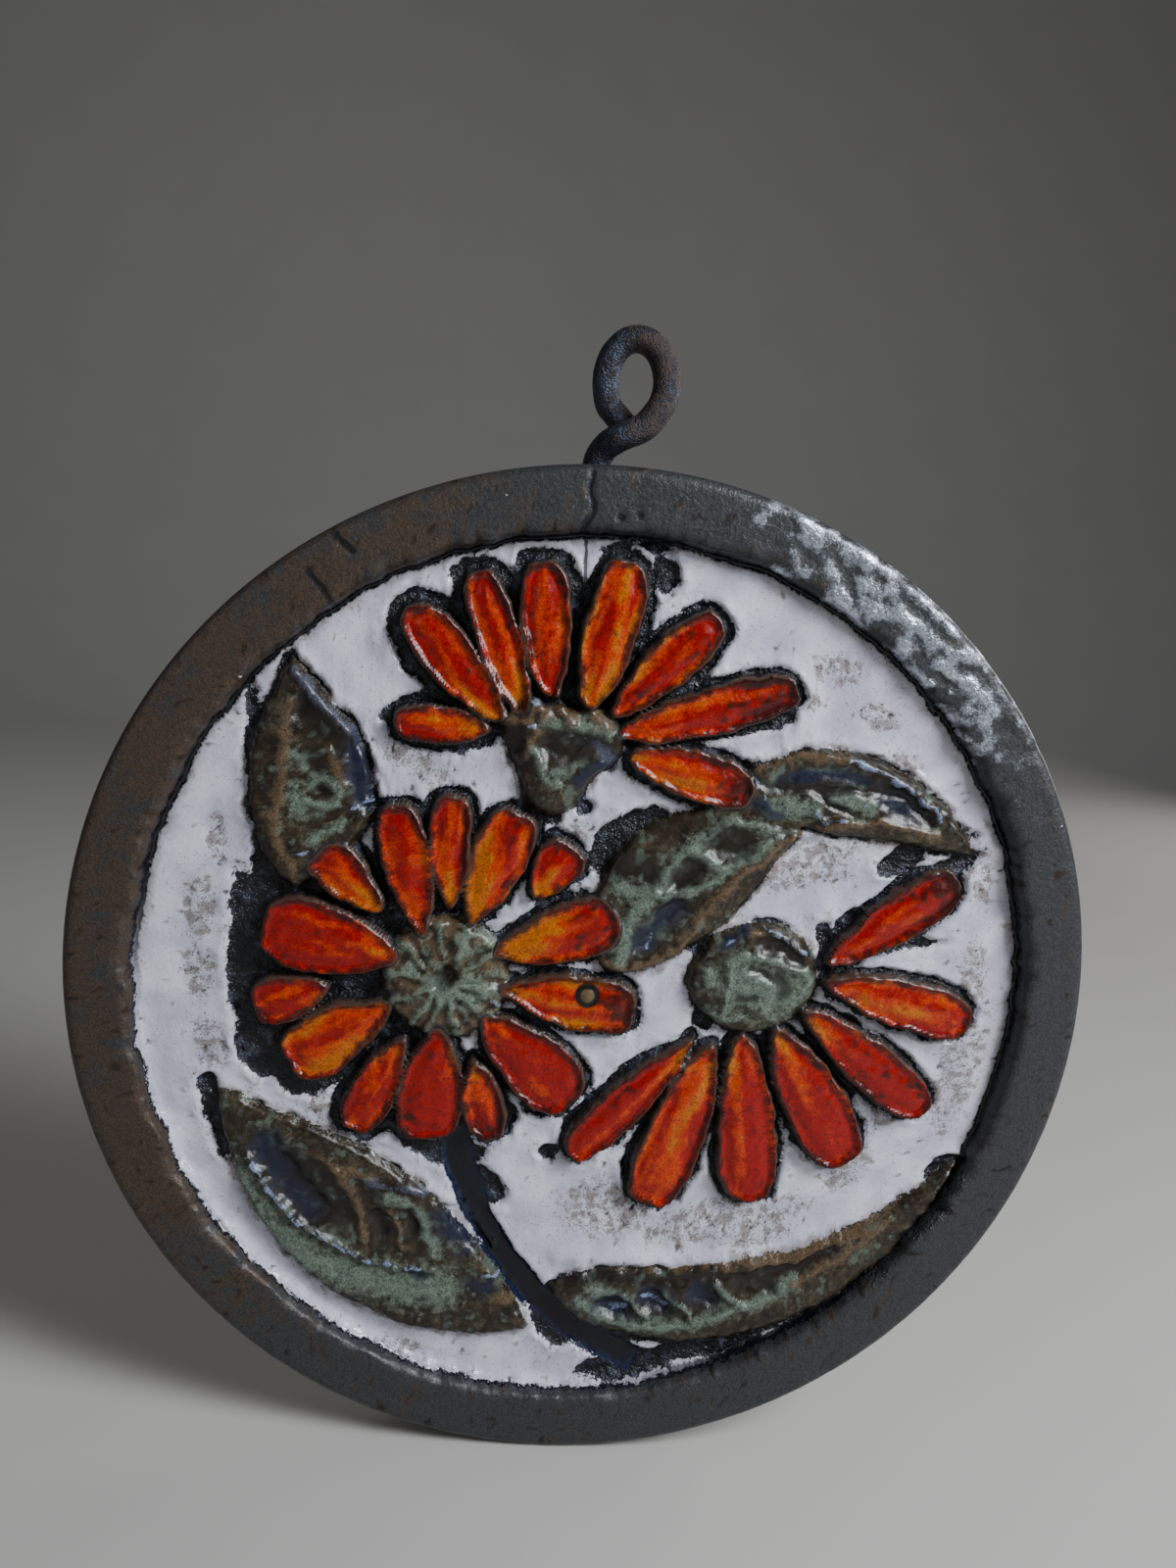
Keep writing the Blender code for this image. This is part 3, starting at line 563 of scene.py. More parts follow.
def read_marks(points):
    """How far the marks lift the clay at each point, and how deep the point lies in each glaze's
    marks, from -1 well outside to 1 in the middle."""
    lift = np.zeros(len(points))
    paint = {mark.glaze: np.full(len(points), -1.0) for mark in MARKS}
    pushed = points + 1.2 * wander(points, 6, 13) + 0.8 * wander(points, 2.2, 18)
    for mark in MARKS:
        where = points if mark.glaze == "nub" else pushed
        inside = 1 - away_from_path(where, mark.path) / (mark.width / 2)
        paint[mark.glaze] = np.maximum(paint[mark.glaze], inside)
        lift += mark.lift * smooth(inside, -0.35, 0.75)
    return lift, paint


def wants_detail(points):
    """Where the disc needs small cells: on the relief, its edges, the rim's inner wall, the
    cracks and the pitted stains."""
    places = lay_out(points)
    margin, wall_band, edge_band = 1.5, 2.4, 1.2
    raised = np.max([places.petal, places.leaf, places.heart, places.stem], axis=0)
    cracks = np.min([away_from_path(points, crack.path) for crack in CRACKS], axis=0)
    return (
        (raised > -margin) | (np.abs(places.rim + 0.2) < wall_band)
        | (np.abs(places.dark) < edge_band) | (cracks < edge_band)
        | ((dabs(points, STAIN) > -0.1) & (places.dark < 0))
    )


def left_heart_ridges(points):
    """The star of ridges that runs out from the left daisy's pit."""
    x, y = (points - np.array(Vector(LEFT_HEART.middle) * FIELD_RADIUS)).T
    warp = wander(points, 5, 41).T
    angle, distance = np.arctan2(y + 1.4 * warp[0], x + 1.4 * warp[1]), np.hypot(x, y)
    wave = np.sin(angle * 13 + 1.3 * np.sin(angle * 3)) * 0.7 + 0.4 * np.sin(angle * 23 + 2)
    return wave * smooth(distance, 3, 7)


def noises_at(points):
    """The noises that both the relief and its glazes follow."""
    return SimpleNamespace(
        broad=GAIN * grain(points, BROAD, 1, 2), blotch=GAIN * grain(points, BLOTCH, 2, 3),
        mottle=GAIN * grain(points, MOTTLE, 3, 2), lumpy=grain(points, LUMPS, 33, 2),
    )


def lay_ground(points, dark, stain, hole, noises):
    """White glaze, thick and puddled, pitted where it is stained and swollen at its edges, and
    bare dark clay, cut back round the flowers."""
    height = FIELD_WAVE * grain(points, 22, 1) + 0.3 * grain(points, 8, 5)
    eaten = 0.4 * np.maximum(noises.blotch, 0) + 0.15 * np.maximum(noises.mottle, 0)
    height -= PIT_DEPTH * hole + stain * eaten
    height += (WHITE_SWELL + 0.35 * noises.blotch) * smooth(dark, -3.4, -1.1)
    clay = -GROOVE_DEPTH + 0.5 * noises.blotch + 0.3 * noises.lumpy + 0.18 * noises.mottle
    return blend(height, clay, smooth(dark, -0.7, 0.6))


def raise_forms(height, places, star, noises):
    """The stem's channel, leaves and hearts as low bodies, and petals: each a wall, a thin lip
    and a domed pool of glaze inside it."""
    blotch, mottle, lumpy = noises.blotch, noises.mottle, noises.lumpy
    height = blend(height, -STEM_DEPTH + 0.15 * blotch, smooth(places.stem, -0.9, 1.1))
    leaf = LEAF_RISE - 0.5 + 0.4 * lumpy + 0.05 * mottle + 0.4 * smooth(places.leaf, 0, 4)
    height = blend(height, leaf, smooth(places.leaf, -0.7, 1.1))
    heart = HEART_RISE * (0.66 + 0.22 * smooth(places.heart, 0.5, 7)) + 0.3 * lumpy
    heart += 0.08 * mottle + 0.8 * star
    height = blend(height, heart, smooth(places.heart, -1.1, 1.6))
    rise = PETAL_RISE + 0.35 * np.sin(places.number * 2.4) + 0.25 * lumpy + 0.08 * mottle
    pool = smooth(places.petal, 0.9, 2.3) * (PETAL_POOL + 0.25 * np.cos(places.number * 3))
    dome = 0.7 * smooth(places.petal, 2.3, 6) + 0.12 * blotch
    return blend(height, rise - pool + dome, smooth(places.petal, -0.6, 0.7))


def near_side(points, side, low, high):
    """1 on the disc's side that lies in a direction, 0 away from it."""
    turn = np.arctan2(points[:, 1], points[:, 0])
    return smooth(np.cos(turn - math.radians(side)), low, high)


def raise_rim(points, height, rim, noises):
    """The rim, cut by hand along its inner edge, with a gap at the foot of its wall that white
    glaze has filled on the lower left, and a crumpled place that carries a painted highlight. Also
    its fields."""
    cut = rim - 0.6 - 0.5 * grain(points, 11, 44, 2) - 0.2 * noises.blotch
    climbs = near_side(points, BEAD_SIDE, 0.45, 0.8)
    height -= GAP_DEPTH * smooth(cut, -2.4, -0.9) * (1 - climbs)
    bead = BEAD_RISE + 0.8 * grain(points, 5, 91) + 0.5 * noises.blotch
    height += bead * smooth(cut, -2.8, -1.2) * climbs
    ragged = 0.03 * noises.broad
    silver = near_side(points, HIGHLIGHT_SIDE, 0.87 - ragged, 0.99 - ragged)
    leant = points @ np.array(((0.8, 0.6), (-0.6, 0.8)))
    foil = GAIN * grain(leant / (2.2, 1.0), 3.4, 66, 3)
    crown = RIM_RISE - 0.2 - 0.2 * np.abs(grain(points, 9, 55, 3)) - 0.3 * smooth(-cut, -2.4, 0)
    crown -= 0.08 * np.abs(noises.mottle) + 0.8 * silver * np.clip(0.4 - foil, 0, 1)
    height = blend(height, crown, smooth(cut, -0.9, 0.9))
    return height, {"rim": cut, "climbs": climbs, "foil": foil * silver, "silver": silver}


def open_cracks(points, height):
    """Cracks, through the white and the rim alike, and how near each point lies to one."""
    crack = np.full(len(points), -1.0)
    for one in CRACKS:
        away = away_from_path(points, one.path)
        height -= one.depth * smooth(-away, -one.width, 0)
        crack = np.maximum(crack, 1.2 - away / one.width)
    return height, crack


def petal_tones(places, blotch):
    """How warm the red glaze looks, from red through orange to ochre, and how burnt."""
    along = places.along
    streak = np.array([
        noise.fractal(Vector((a * 1.6, b * 4, c * 1.7)), 1.0, 2.0, 3)
        for a, b, c in zip(along, places.across, places.number)
    ])
    warmth = 1.3 * places.gold - 0.45 + 1.8 * streak + 0.35 * blotch
    warmth += 0.45 * smooth(-along, -0.5, -0.1) - 0.7 * smooth(along, 0.5, 1)
    burnt = 1.3 * places.dusk * smooth(along, 0.4, 0.95) + 0.6 * blotch - 0.9 * streak
    return {"warmth": warmth, "burnt": burnt}


def carve(points):
    """The height of the relief at each point, and the fields that its glazes follow."""
    wobbled = points + 0.9 * wander(points, 9, 3) + 0.55 * wander(points, 3.2, 8)
    places, noises = lay_out(wobbled), noises_at(points)
    lift, paint = read_marks(points)
    body = np.maximum(places.leaf, places.heart)
    # The white glaze stops at the bare clay along a ragged line
    dark = places.dark + 1.3 * grain(points, 7, 71) + 0.5 * noises.blotch
    stain = np.clip(1.5 * (dabs(points, STAIN) + 0.5), 0, 1)
    hole = pits(points, PIT_SPACING, 0.2 + 2.4 * stain, 2)
    streaks = smooth(places.left_heart, -1, 1)
    star = left_heart_ridges(points) * streaks

    height = lay_ground(points, dark, stain, hole, noises)
    height = raise_forms(height, places, star, noises) + lift
    height, rim_fields = raise_rim(points, height, places.rim, noises)
    height, crack = open_cracks(wobbled, height)

    # The clay is rough where it is bare, and the glaze smooth on every form
    raised = np.max([places.petal, body, places.stem], axis=0)
    rough = 0.12 + 0.8 * smooth(dark, -0.5, 0.5) * smooth(-raised, -0.4, 0.3)
    rough += 0.12 * smooth(rim_fields["rim"], 0, 1)
    specks = np.min([np.hypot(*(points - place).T) for place in SPECKS], axis=0)
    fields = {
        **paint, **rim_fields, **petal_tones(places, noises.blotch), "petal": places.petal,
        "body": body, "stem": places.stem, "dark": dark, "stain": stain, "hole": hole,
        "crack": crack, "lift": lift + 0.6 * star, "streaks": streaks, "rough": rough,
        "rusty": near_side(points, BROWN_SIDE, 0, 0.9), "speck": SPECK_RADIUS - specks,
        "broad": noises.broad, "blotch": noises.blotch, "mottle": noises.mottle,
    }
    return np.minimum(height, RIM_RISE), fields


def to_round(points):
    """Carries a square from -1 to 1 onto a disc of radius 1, squares round it becoming rings."""
    u, v = points.T
    wide = np.abs(u) >= np.abs(v)
    reach = np.where(wide, u, v)
    other = np.where(wide, v, u)
    angle = np.pi / 4 * other / np.where(reach == 0, 1, reach)
    angle = np.where(wide, angle, np.pi / 2 - angle)
    return np.stack([reach * np.cos(angle), reach * np.sin(angle)], axis=1)


def gather(points):
    """Draws the rings of cells together at the rim's steep inner wall."""
    radius = np.maximum(np.hypot(*points.T), 1e-6)
    beyond = radius - INNER_WALL
    drawn = INNER_WALL + beyond * (1 - 0.6 * np.exp(-(beyond / 4) ** 2))
    return points * (drawn / radius)[:, None]


def flat(elements):
    return np.array([element[:2] for element in elements])


def ends(edges):
    """The vertices of a ring of edges, each once and in the same order every time."""
    return list(dict.fromkeys(vertex for edge in edges for vertex in edge.verts))


def push_ring(bm, ring):
    """A ring of edges extruded from another, still in its place."""
    made = bmesh.ops.extrude_edge_only(bm, edges=ring)["geom"]
    return [part for part in made if isinstance(part, bmesh.types.BMEdge)]


def new_object(name, bm, material):
    """A finished mesh as a smooth object of the scene, with its place in its mesh."""
    for face in bm.faces:
        face.smooth = True
    mesh = bpy.data.meshes.new(name)
    bm.to_mesh(mesh)
    bm.free()
    mesh.materials.append(material)
    obj = bpy.data.objects.new(name, mesh)
    bpy.context.scene.collection.objects.link(obj)
    return obj


def blank_disc(cells):
    """A flat round plate of small cells, smaller still where the relief is."""
    bm = bmesh.new()
    bmesh.ops.create_grid(bm, x_segments=cells, y_segments=cells, size=1)
    middles = flat([face.calc_center_median() for face in bm.faces])
    wanted = wants_detail(to_round(middles) * TOP_RADIUS)
    edges = dict.fromkeys(
        edge for face, fine in zip(bm.faces, wanted) if fine for edge in face.edges
    )
    bmesh.ops.subdivide_edges(bm, edges=list(edges), cuts=1, use_grid_fill=True)
    places = gather(to_round(flat([vertex.co for vertex in bm.verts])) * TOP_RADIUS)
    for vertex, place in zip(bm.verts, places):
        vertex.co = (*place, 0)
    return bm


def side_rings():
    """The disc's section from its top edge to its back, as radius, height, and whether the
    height counts from the crown."""
    for turn in np.radians((20, 45, 70, 90)):
        out, down = SHOULDER_RADIUS * math.sin(turn), SHOULDER_RADIUS * (1 - math.cos(turn))
        yield TOP_RADIUS + out, -down, True
    for height in (1, -2, -5, -8, BACK + HEEL_RADIUS):
        yield DISC_RADIUS, height, False
    for turn in np.radians((30, 60, 90)):
        into, down = HEEL_RADIUS * (1 - math.cos(turn)), HEEL_RADIUS * (1 - math.sin(turn))
        yield DISC_RADIUS - into, BACK + down, False
    for radius in (132, 60):
        yield radius, BACK, False


def close_disc(bm):
    """Carries the plate's edge over the shoulder, down the side and across the back."""
    crown = bm.verts.layers.float.new("crown")
    ring = [edge for edge in bm.edges if edge.is_boundary]
    for vertex in ends(ring):
        vertex[crown] = vertex.co.z
    for radius, height, hangs in side_rings():
        ring = push_ring(bm, ring)
        for vertex in ends(ring):
            place = vertex.co.to_2d().normalized() * (radius - SLACK)
            lump = 0.12 * noise.noise(Vector((place.x / 9, place.y / 9, height / 6)))
            if not hangs and radius > FIELD_RADIUS:
                place *= 1 - abs(lump) / DISC_RADIUS
            vertex.co = (place.x, place.y, height + vertex[crown] * hangs)
    bmesh.ops.pointmerge(bm, verts=ends(ring), merge_co=(0, 0, BACK))
    bm.verts.layers.float.remove(crown)


def dress_side(bm, layers):
    """The fields of the side and the back, which nothing of the face runs down to."""
    sizes = {"broad": BROAD, "blotch": BLOTCH, "mottle": MOTTLE, "foil": SIDE_FOIL}
    for vertex in bm.verts:
        vertex[layers["back"]] = 1 - smooth(vertex.co.z, BACK + 1, BACK + 5)
        reach = vertex.co.to_2d().length
        if vertex.co.z >= -3 and reach <= DISC_RADIUS - 1:
            continue
        vertex[layers["rim"]] = ALL_RIM
        vertex[layers["crack"]] = vertex[layers["speck"]] = NOWHERE
        vertex[layers["silver"]] *= smooth(vertex.co.z, -3, 3)
        gain = GAIN * smooth(reach, 130, TOP_RADIUS)
        for field, size in sizes.items():
            vertex[layers[field]] = gain * noise.noise(vertex.co / size)


def make_disc(name, cells, material):
    # Without a seed, noise_vector would take its offsets from the clock
    noise.seed_set(SEED)
    bm = blank_disc(cells)
    height, fields = carve(flat([vertex.co for vertex in bm.verts]))
    layers = {field: bm.verts.layers.float.new(field) for field in FIELDS}
    for vertex, z in zip(bm.verts, height):
        vertex.co.z = z
    for field, values in fields.items():
        layer = layers[field]
        for vertex, value in zip(bm.verts, values):
            vertex[layer] = value
    close_disc(bm)
    dress_side(bm, layers)
    bmesh.ops.recalc_face_normals(bm, faces=bm.faces[:])
    bmesh.ops.transform(bm, matrix=FACE, verts=bm.verts[:])
    return new_object(name, bm, material)


def loop_route():
    """The rod's middle line: up out of the disc, over in front of its own tail, round the eye and
    down behind, in the same places as the solid's."""
    half_width = EYE_WIDTH / 2 + ROD_RADIUS
    half_height = EYE_HEIGHT / 2 + ROD_RADIUS
    front = ROD_RADIUS + STRAND_GAP / 2
    middle = EYE_MIDDLE + Vector((0, 0, EYE_FORWARD))

    def under_eye(across, neck_share, ahead):
        height = DISC_RADIUS + neck_share * NECK_HEIGHT
        return Vector((middle.x + across * half_width, height, middle.z + ahead))

    route = [
        Vector((SHANK_OFFSET, DISC_RADIUS - SHANK_SHOWN, ROD_DEPTH)),
        Vector((SHANK_OFFSET, DISC_RADIUS, ROD_DEPTH)),
        Vector((
            SHANK_OFFSET + ROD_RADIUS * 0.6, DISC_RADIUS + NECK_HEIGHT * 0.44,
            ROD_DEPTH + EYE_FORWARD * 2,
        )),
        under_eye(-0.54, 0.68, front),
        under_eye(0.2, 0.9, front),
    ]
    for step in range(14):
        angle = math.radians(-45 + 260 * step / 13)
        ahead = (math.pi / 2 - angle) / math.radians(135)
        route.append(middle + Vector((
            half_width * math.cos(angle), half_height * math.sin(angle), front * ahead
        )))
    route.append(under_eye(-0.2, 0.94, -front))
    return route


def smooth_line(route, between):
    stops = [route[0] * 2 - route[1], *route, route[-1] * 2 - route[-2]]
    line = []
    for before, start, end, after in zip(stops, stops[1:], stops[2:], stops[3:]):
        handle_1 = start + (end - before) / 6
        handle_2 = end - (after - start) / 6
        line += interpolate_bezier(start, handle_1, handle_2, end, between + 1)[:-1]
    return [*line, route[-1]]


def make_loop(name, sides, material):
    """A ring of points pushed along the rod's line, each ring a little out of round, as the
    hammer left it."""
    line = smooth_line(loop_route(), 5)
    bm = bmesh.new()
    spot = bm.verts.layers.float_vector.new("spot")
    bmesh.ops.create_circle(bm, segments=sides, radius=1)
    for vertex in bm.verts:
        vertex[spot] = vertex.co
    ring = bm.edges[:]
    ahead = (line[1] - line[0]).normalized()
    across = Vector((0, 0, 1)).rotation_difference(ahead).to_matrix()
    for number, point in enumerate(line):
        if number:
            ring = push_ring(bm, ring)
            after = line[min(number + 1, len(line) - 1)]
            turn = (after - line[number - 1]).normalized()
            across = ahead.rotation_difference(turn).to_matrix() @ across
            ahead = turn
        radius = ROD_RADIUS * (0.985 - 0.045 * smooth(number / len(line), 0.3, 0.6))
        for vertex in ends(ring):
            out = across @ vertex[spot]
            place = point + out * radius
            dent = 0.24 * max(0.0, noise.noise(place / 4.2)) + 0.05 * abs(noise.noise(place / 1.1))
            vertex.co = point + out * (radius - dent)
    bmesh.ops.holes_fill(bm, edges=[edge for edge in bm.edges if edge.is_boundary], sides=0)
    bmesh.ops.recalc_face_normals(bm, faces=bm.faces[:])
    bmesh.ops.transform(bm, matrix=FACE, verts=bm.verts[:])
    bm.verts.layers.float_vector.remove(spot)
    return new_object(name, bm, material)


class Value:
    """A socket of a shader that takes part in sums, as a number would."""

    def __init__(self, shader, socket):
        self.shader = shader
        self.socket = socket

    def __add__(self, other):
        return self.shader.math("ADD", self, other)

    def __sub__(self, other):
        return self.shader.math("SUBTRACT", self, other)

    def __rsub__(self, other):
        return self.shader.math("SUBTRACT", other, self)

    def __mul__(self, other):
        return self.shader.math("MULTIPLY", self, other)

    __radd__ = __add__


class Shader:
    """A new material whose nodes are added by calls."""

    def __init__(self, name):
        self.material = bpy.data.materials.new(name)
        self.material.use_nodes = True
        self.tree = self.material.node_tree
        self.surface = self.tree.nodes["Principled BSDF"]
        self.point = self.scaled_point()

    def node(self, kind, settings, values):
        """One node: its settings first, then the values or links of its sockets."""
        node = self.tree.nodes.new(kind)
        for key, setting in settings.items():
            setattr(node, key, setting)
        for key, value in values.items():
            self.feed(node.inputs[key], value)
        return node

    def feed(self, socket, value):
        if isinstance(value, Value):
            self.tree.links.new(value.socket, socket)
        else:
            socket.default_value = value

    def scaled_point(self):
        """The place on the piece, in millimetres."""
        coordinates = self.node("ShaderNodeTexCoord", {}, {}).outputs["Object"]
        scaled = self.node("ShaderNodeVectorMath", {"operation": "SCALE"}, {
            "Vector": Value(self, coordinates), "Scale": 1 / MM,
        })
        return Value(self, scaled.outputs["Vector"])

    def math(self, operation, *values):
        node = self.node("ShaderNodeMath", {"operation": operation}, dict(enumerate(values)))
        return Value(self, node.outputs["Value"])

    def attribute(self, name):
        node = self.node("ShaderNodeAttribute", {"attribute_name": name}, {})
        return Value(self, node.outputs["Fac"])

    def noise(self, size, detail=2, roughness=0.5):
        """Noise between about -1 and 1 that changes over the given size in millimetres."""
        node = self.node("ShaderNodeTexNoise", {}, {
            "Vector": self.point, "Scale": 1 / size, "Detail": detail, "Roughness": roughness,
        })
        return Value(self, node.outputs["Fac"]) * 3 - 1.5

    def step(self, value, low, high):
        """0 below low, 1 above high and a smooth slope between them."""
        node = self.node("ShaderNodeMapRange", {"interpolation_type": "SMOOTHSTEP"}, {
            "Value": value, "From Min": low, "From Max": high, "To Min": 0.0, "To Max": 1.0,
        })
        return Value(self, node.outputs["Result"])

    def mix(self, share, first, second):
        """A colour between two others."""
        node = self.node("ShaderNodeMix", {"data_type": "RGBA"}, {0: share})
        for key, colour in ((6, first), (7, second)):
            self.feed(node.inputs[key], colour if isinstance(colour, Value) else (*colour, 1))
        return Value(self, node.outputs[2])

    def shade(self, colour, amount):
        """A colour made lighter or darker by a factor."""
        node = self.node("ShaderNodeVectorMath", {"operation": "SCALE"}, {
            "Vector": colour, "Scale": amount,
        })
        return Value(self, node.outputs["Vector"])

    def bump(self, height, distance):
        """Fine relief from a height of about 0 to 1, as deep as the distance in millimetres."""
        node = self.node("ShaderNodeBump", {}, {
            "Height": height, "Distance": distance * MM, "Strength": 1.0,
        })
        self.feed(self.surface.inputs["Normal"], Value(self, node.outputs["Normal"]))

    def finish(self, **values):
        for name, value in values.items():
            self.feed(self.surface.inputs[name.replace("_", " ")], value)
        return self.material


def srgb(red, green, blue):
    """A colour as seen on a screen, from 0 to 255, made linear."""
    return tuple(
        value / 12.92 if value <= 0.04045 else ((value + 0.055) / 1.055) ** 2.4
        for value in (red / 255, green / 255, blue / 255)
    )


def glazes(colours):
    """Every glaze of the disc in one material, each where its field lies."""
    s = Shader("glazed_stoneware")
    at = SimpleNamespace(**{name: s.attribute(name) for name in FIELDS})
    broad, blotch, mottle = at.broad, at.blotch, at.mottle
    edge, patch, crystal = s.noise(1.3, 2, 0.6), s.noise(16, 4, 0.6), s.noise(0.5, 1, 0.6)
    ragged = edge * 0.6 + crystal * 0.3
    grainy = s.step(crystal + edge * 0.3, -1.0, 1.0)

    def cover(under, glaze, value, low, high, share=1.0):
        """A glaze laid over a colour, from none of it at low to the given share at high."""
        return s.mix(s.step(value, low, high) * share, under, colours[glaze])

    # White ground: cool and thick, with brown specks and stains
    white = cover(colours["white_shade"], "white", broad + blotch * 0.4, -0.8, 0.8)
    stained = at.stain * 1.1 + blotch * 1.1 + mottle * 0.7 + ragged * 0.6
    white = cover(white, "stain", stained, 0.6, 1.7, 0.75)
    white = cover(white, "speck", crystal + edge * 0.4 + at.stain * 0.4, 0.32, 0.9, 0.7)
    white = cover(white, "speck", at.hole + ragged * 0.4, 0.1, 0.6, 0.85)
    white = s.shade(white, grainy * 0.2 + 0.84)
    # Painted shade and brown stain together: a band of the white along the foot of the rim, left
    # off on the lower left where the white bead climbs
    rim_shade_and_stain = at.rim + blotch * 1.5 + ragged * 1.5
    white = cover(white, "stain", rim_shade_and_stain, -5.0, -1.0, (1 - at.climbs) * 0.55)
    white = cover(white, "lilac", at.body + blotch * 1.2 + ragged * 1.2, -2.6, -0.5, 0.7)
    fringe = s.step(at.dark + ragged * 1.3, -1.4, -0.1)
    white = cover(white, "stain", mottle + crystal * 0.5, -0.3, 0.8, fringe * 0.55)

    # Bare dark clay
    clay = cover(colours["dark"], "slate", blotch + ragged, 0.0, 1.5)
    in_clay = s.step(at.dark + ragged, -0.15, 0.15)
    colour = s.mix(in_clay, white, clay)

    # Stem
    stem = cover(colours["stem"], "navy", at.stem + ragged, 1.5, 0.3)
    colour = s.mix(s.step(at.stem + ragged * 0.7, -0.5, -0.1), colour, stem)

    # Leaves and hearts
    slip = cover(colours["umber"], "olive", blotch + ragged * 0.6, -0.3, 1.2)
    slip = cover(slip, "tan", mottle + broad * 0.5 + crystal * 0.3, 0.6, 1.2, 0.8)
    slip = cover(slip, "soot", 0 - mottle * 0.7 - blotch - broad * 0.4, 0.0, 1.2, 0.85)
    slip = cover(slip, "celadon", broad * 0.7 - blotch + edge * 0.5, 0.1, 1.3, 0.5)
    ridged = s.step(at.streaks + ragged * 0.3, 0.0, 0.6)
    slip = cover(slip, "tan", blotch + mottle * 0.6, -0.8, 0.8, ridged * 0.7)
    star = at.lift + ragged * 0.6 + mottle * 0.6
    slip = cover(slip, "celadon", star, -0.1, 0.6, ridged * 0.6)
    # Among these glazes, the pale blue glint marks are painted highlights on ridges and edges
    for glaze in ("umber", "celadon", "tan", "slate", "navy", "soot", "frost"):
        spread = getattr(at, glaze) + blotch * 0.5 + mottle * 0.45 + ragged * 0.45
        low, high = (0.3, 0.95) if glaze == "frost" else (-0.55, 0.8)
        slip = cover(slip, glaze, spread, low, high, grainy * 0.5 + 0.5)
    slip = s.shade(slip, grainy * 0.7 + 0.62)
    in_body = s.step(at.body + ragged * 0.9, -0.45, -0.1)
    colour = s.mix(in_body, colour, slip)

    # Petals
    wall = s.step(at.petal + mottle * 0.3 + ragged * 0.4, -0.2, 0.3)
    wall = s.mix(wall, clay, colours["lip"])
    colour = s.mix(s.step(at.petal + ragged * 0.4, -0.55, -0.25), colour, wall)
    warmth = at.warmth + ragged * 0.3
    red = cover(colours["red"], "orange", warmth, -0.3, 0.55)
    red = cover(red, "ochre", warmth, 0.5, 1.3)
    red = cover(red, "ember", at.burnt + ragged * 0.3, 0.5, 1.2, 0.85)
    scorch = at.petal + ragged * 0.9 + blotch * 1.1 + broad * 0.6
    red = cover(red, "ember", scorch, 2.8, 0.9, 0.85)
    red = s.shade(red, grainy * 0.55 + 0.3)
    in_pool = s.step(at.petal + ragged * 0.5 + mottle * 0.25, 0.6, 0.95)
    colour = s.mix(in_pool, colour, red)
    colour = cover(colour, "soot", at.nub, -0.85, -0.45)
    colour = cover(colour, "tan", at.nub, 0.0, 0.25)

    # Rim
    warm = at.rusty * 0.8 + blotch * 0.5 + patch * 0.6
    steel = cover(colours["rim_grey"], "rim_brown", warm, 0.1, 1.0)
    steel = cover(steel, "soot", mottle + blotch + ragged * 0.5, 0.4, 1.4, 0.7)
    # Painted highlight: a pale blue-grey sheen on the crumpled metallic patch at the rim's upper
    # right, the side the light comes from
    gleam = s.step(at.foil * 0.9 + at.silver * 1.1 + ragged * 0.3, 0.8, 1.7)
    steel = s.mix(gleam, steel, colours["rim_blue"])
    steel = s.shade(steel, grainy * 0.8 + 0.55)
    steel = cover(steel, "stain", crystal + blotch * 0.3, 0.95, 1.15, 0.6)
    # Painted shadow over the dark glaze of the gap at the foot of the rim's inner wall: a dark
    # band, left off on the lower left where the white bead climbs, and a black line at the wall's
    # foot all round
    colour = cover(colour, "dark", at.rim + ragged, -2.1, -1.4, 1 - at.climbs)
    colour = cover(colour, "stem", at.rim + ragged * 0.8, -0.9, -0.4)
    in_rim = s.step(at.rim + ragged * 0.6, -0.35, 0.0)
    colour = s.mix(in_rim, colour, steel)
    colour = cover(colour, "dark", at.crack + ragged * 0.3, 0.1, 0.5, 0.85)
    colour = cover(colour, "white", at.speck + edge * 0.2, 0.1, 0.3)

    # Back
    bare = cover(colours["clay"], "clay_dark", patch + edge * 0.3, -0.6, 0.6)
    bare = cover(bare, "speck", crystal + patch * 0.3, 0.75, 1.0, 0.5)
    colour = s.mix(at.back, colour, bare)

    roughness = 0.12 + in_clay * 0.15 + s.step(edge, -0.5, 1.2) * 0.08 + in_body * 0.03
    rim_roughness = 0.4 - gleam * 0.2 + s.step(blotch, -1, 1) * 0.14
    roughness = roughness + (rim_roughness - roughness) * in_rim
    roughness = roughness + (0.85 - roughness) * at.back
    metallic = in_rim * (0.35 + gleam * 0.5) * (1 - at.back)

    s.bump(edge * at.rough + crystal * (at.rough * 0.4 - 0.04), 0.35)
    return s.finish(
        Base_Color=colour, Roughness=roughness, Metallic=metallic, Specular_IOR_Level=0.36
    )


def rust(colours):
    """Forged iron: black scale, brown rust in patches and bright rubbed places."""
    s = Shader("rusted_iron")
    blotch = s.noise(3.5, 3, 0.6)
    fine = s.noise(0.6, 2, 0.65)
    across = s.node("ShaderNodeSeparateXYZ", {}, {"Vector": s.point}).outputs["X"]
    left = s.step(Value(s, across) + blotch, -1.0, -5.0)
    rusty = s.step(blotch * 1.2 + fine * 0.8 - left * 0.9, -0.5, 0.7)
    colour = s.mix(rusty, colours["scale"], colours["rust"])
    colour = s.mix(s.step(fine + blotch * 0.4, 0.5, 1.1) * 0.6, colour, colours["rust_bright"])
    worn = s.step(left * 0.6 - blotch + fine * 0.6, 0.2, 0.9) * (1 - rusty)
    colour = s.mix(worn * 0.7, colour, colours["worn"])
    roughness = 0.42 + rusty * 0.32 + s.step(fine, -1, 1) * 0.08
    s.bump(fine * 0.7 + blotch * 0.3, 0.3)
    return s.finish(Base_Color=colour, Roughness=roughness, Metallic=0.75 - rusty * 0.55)


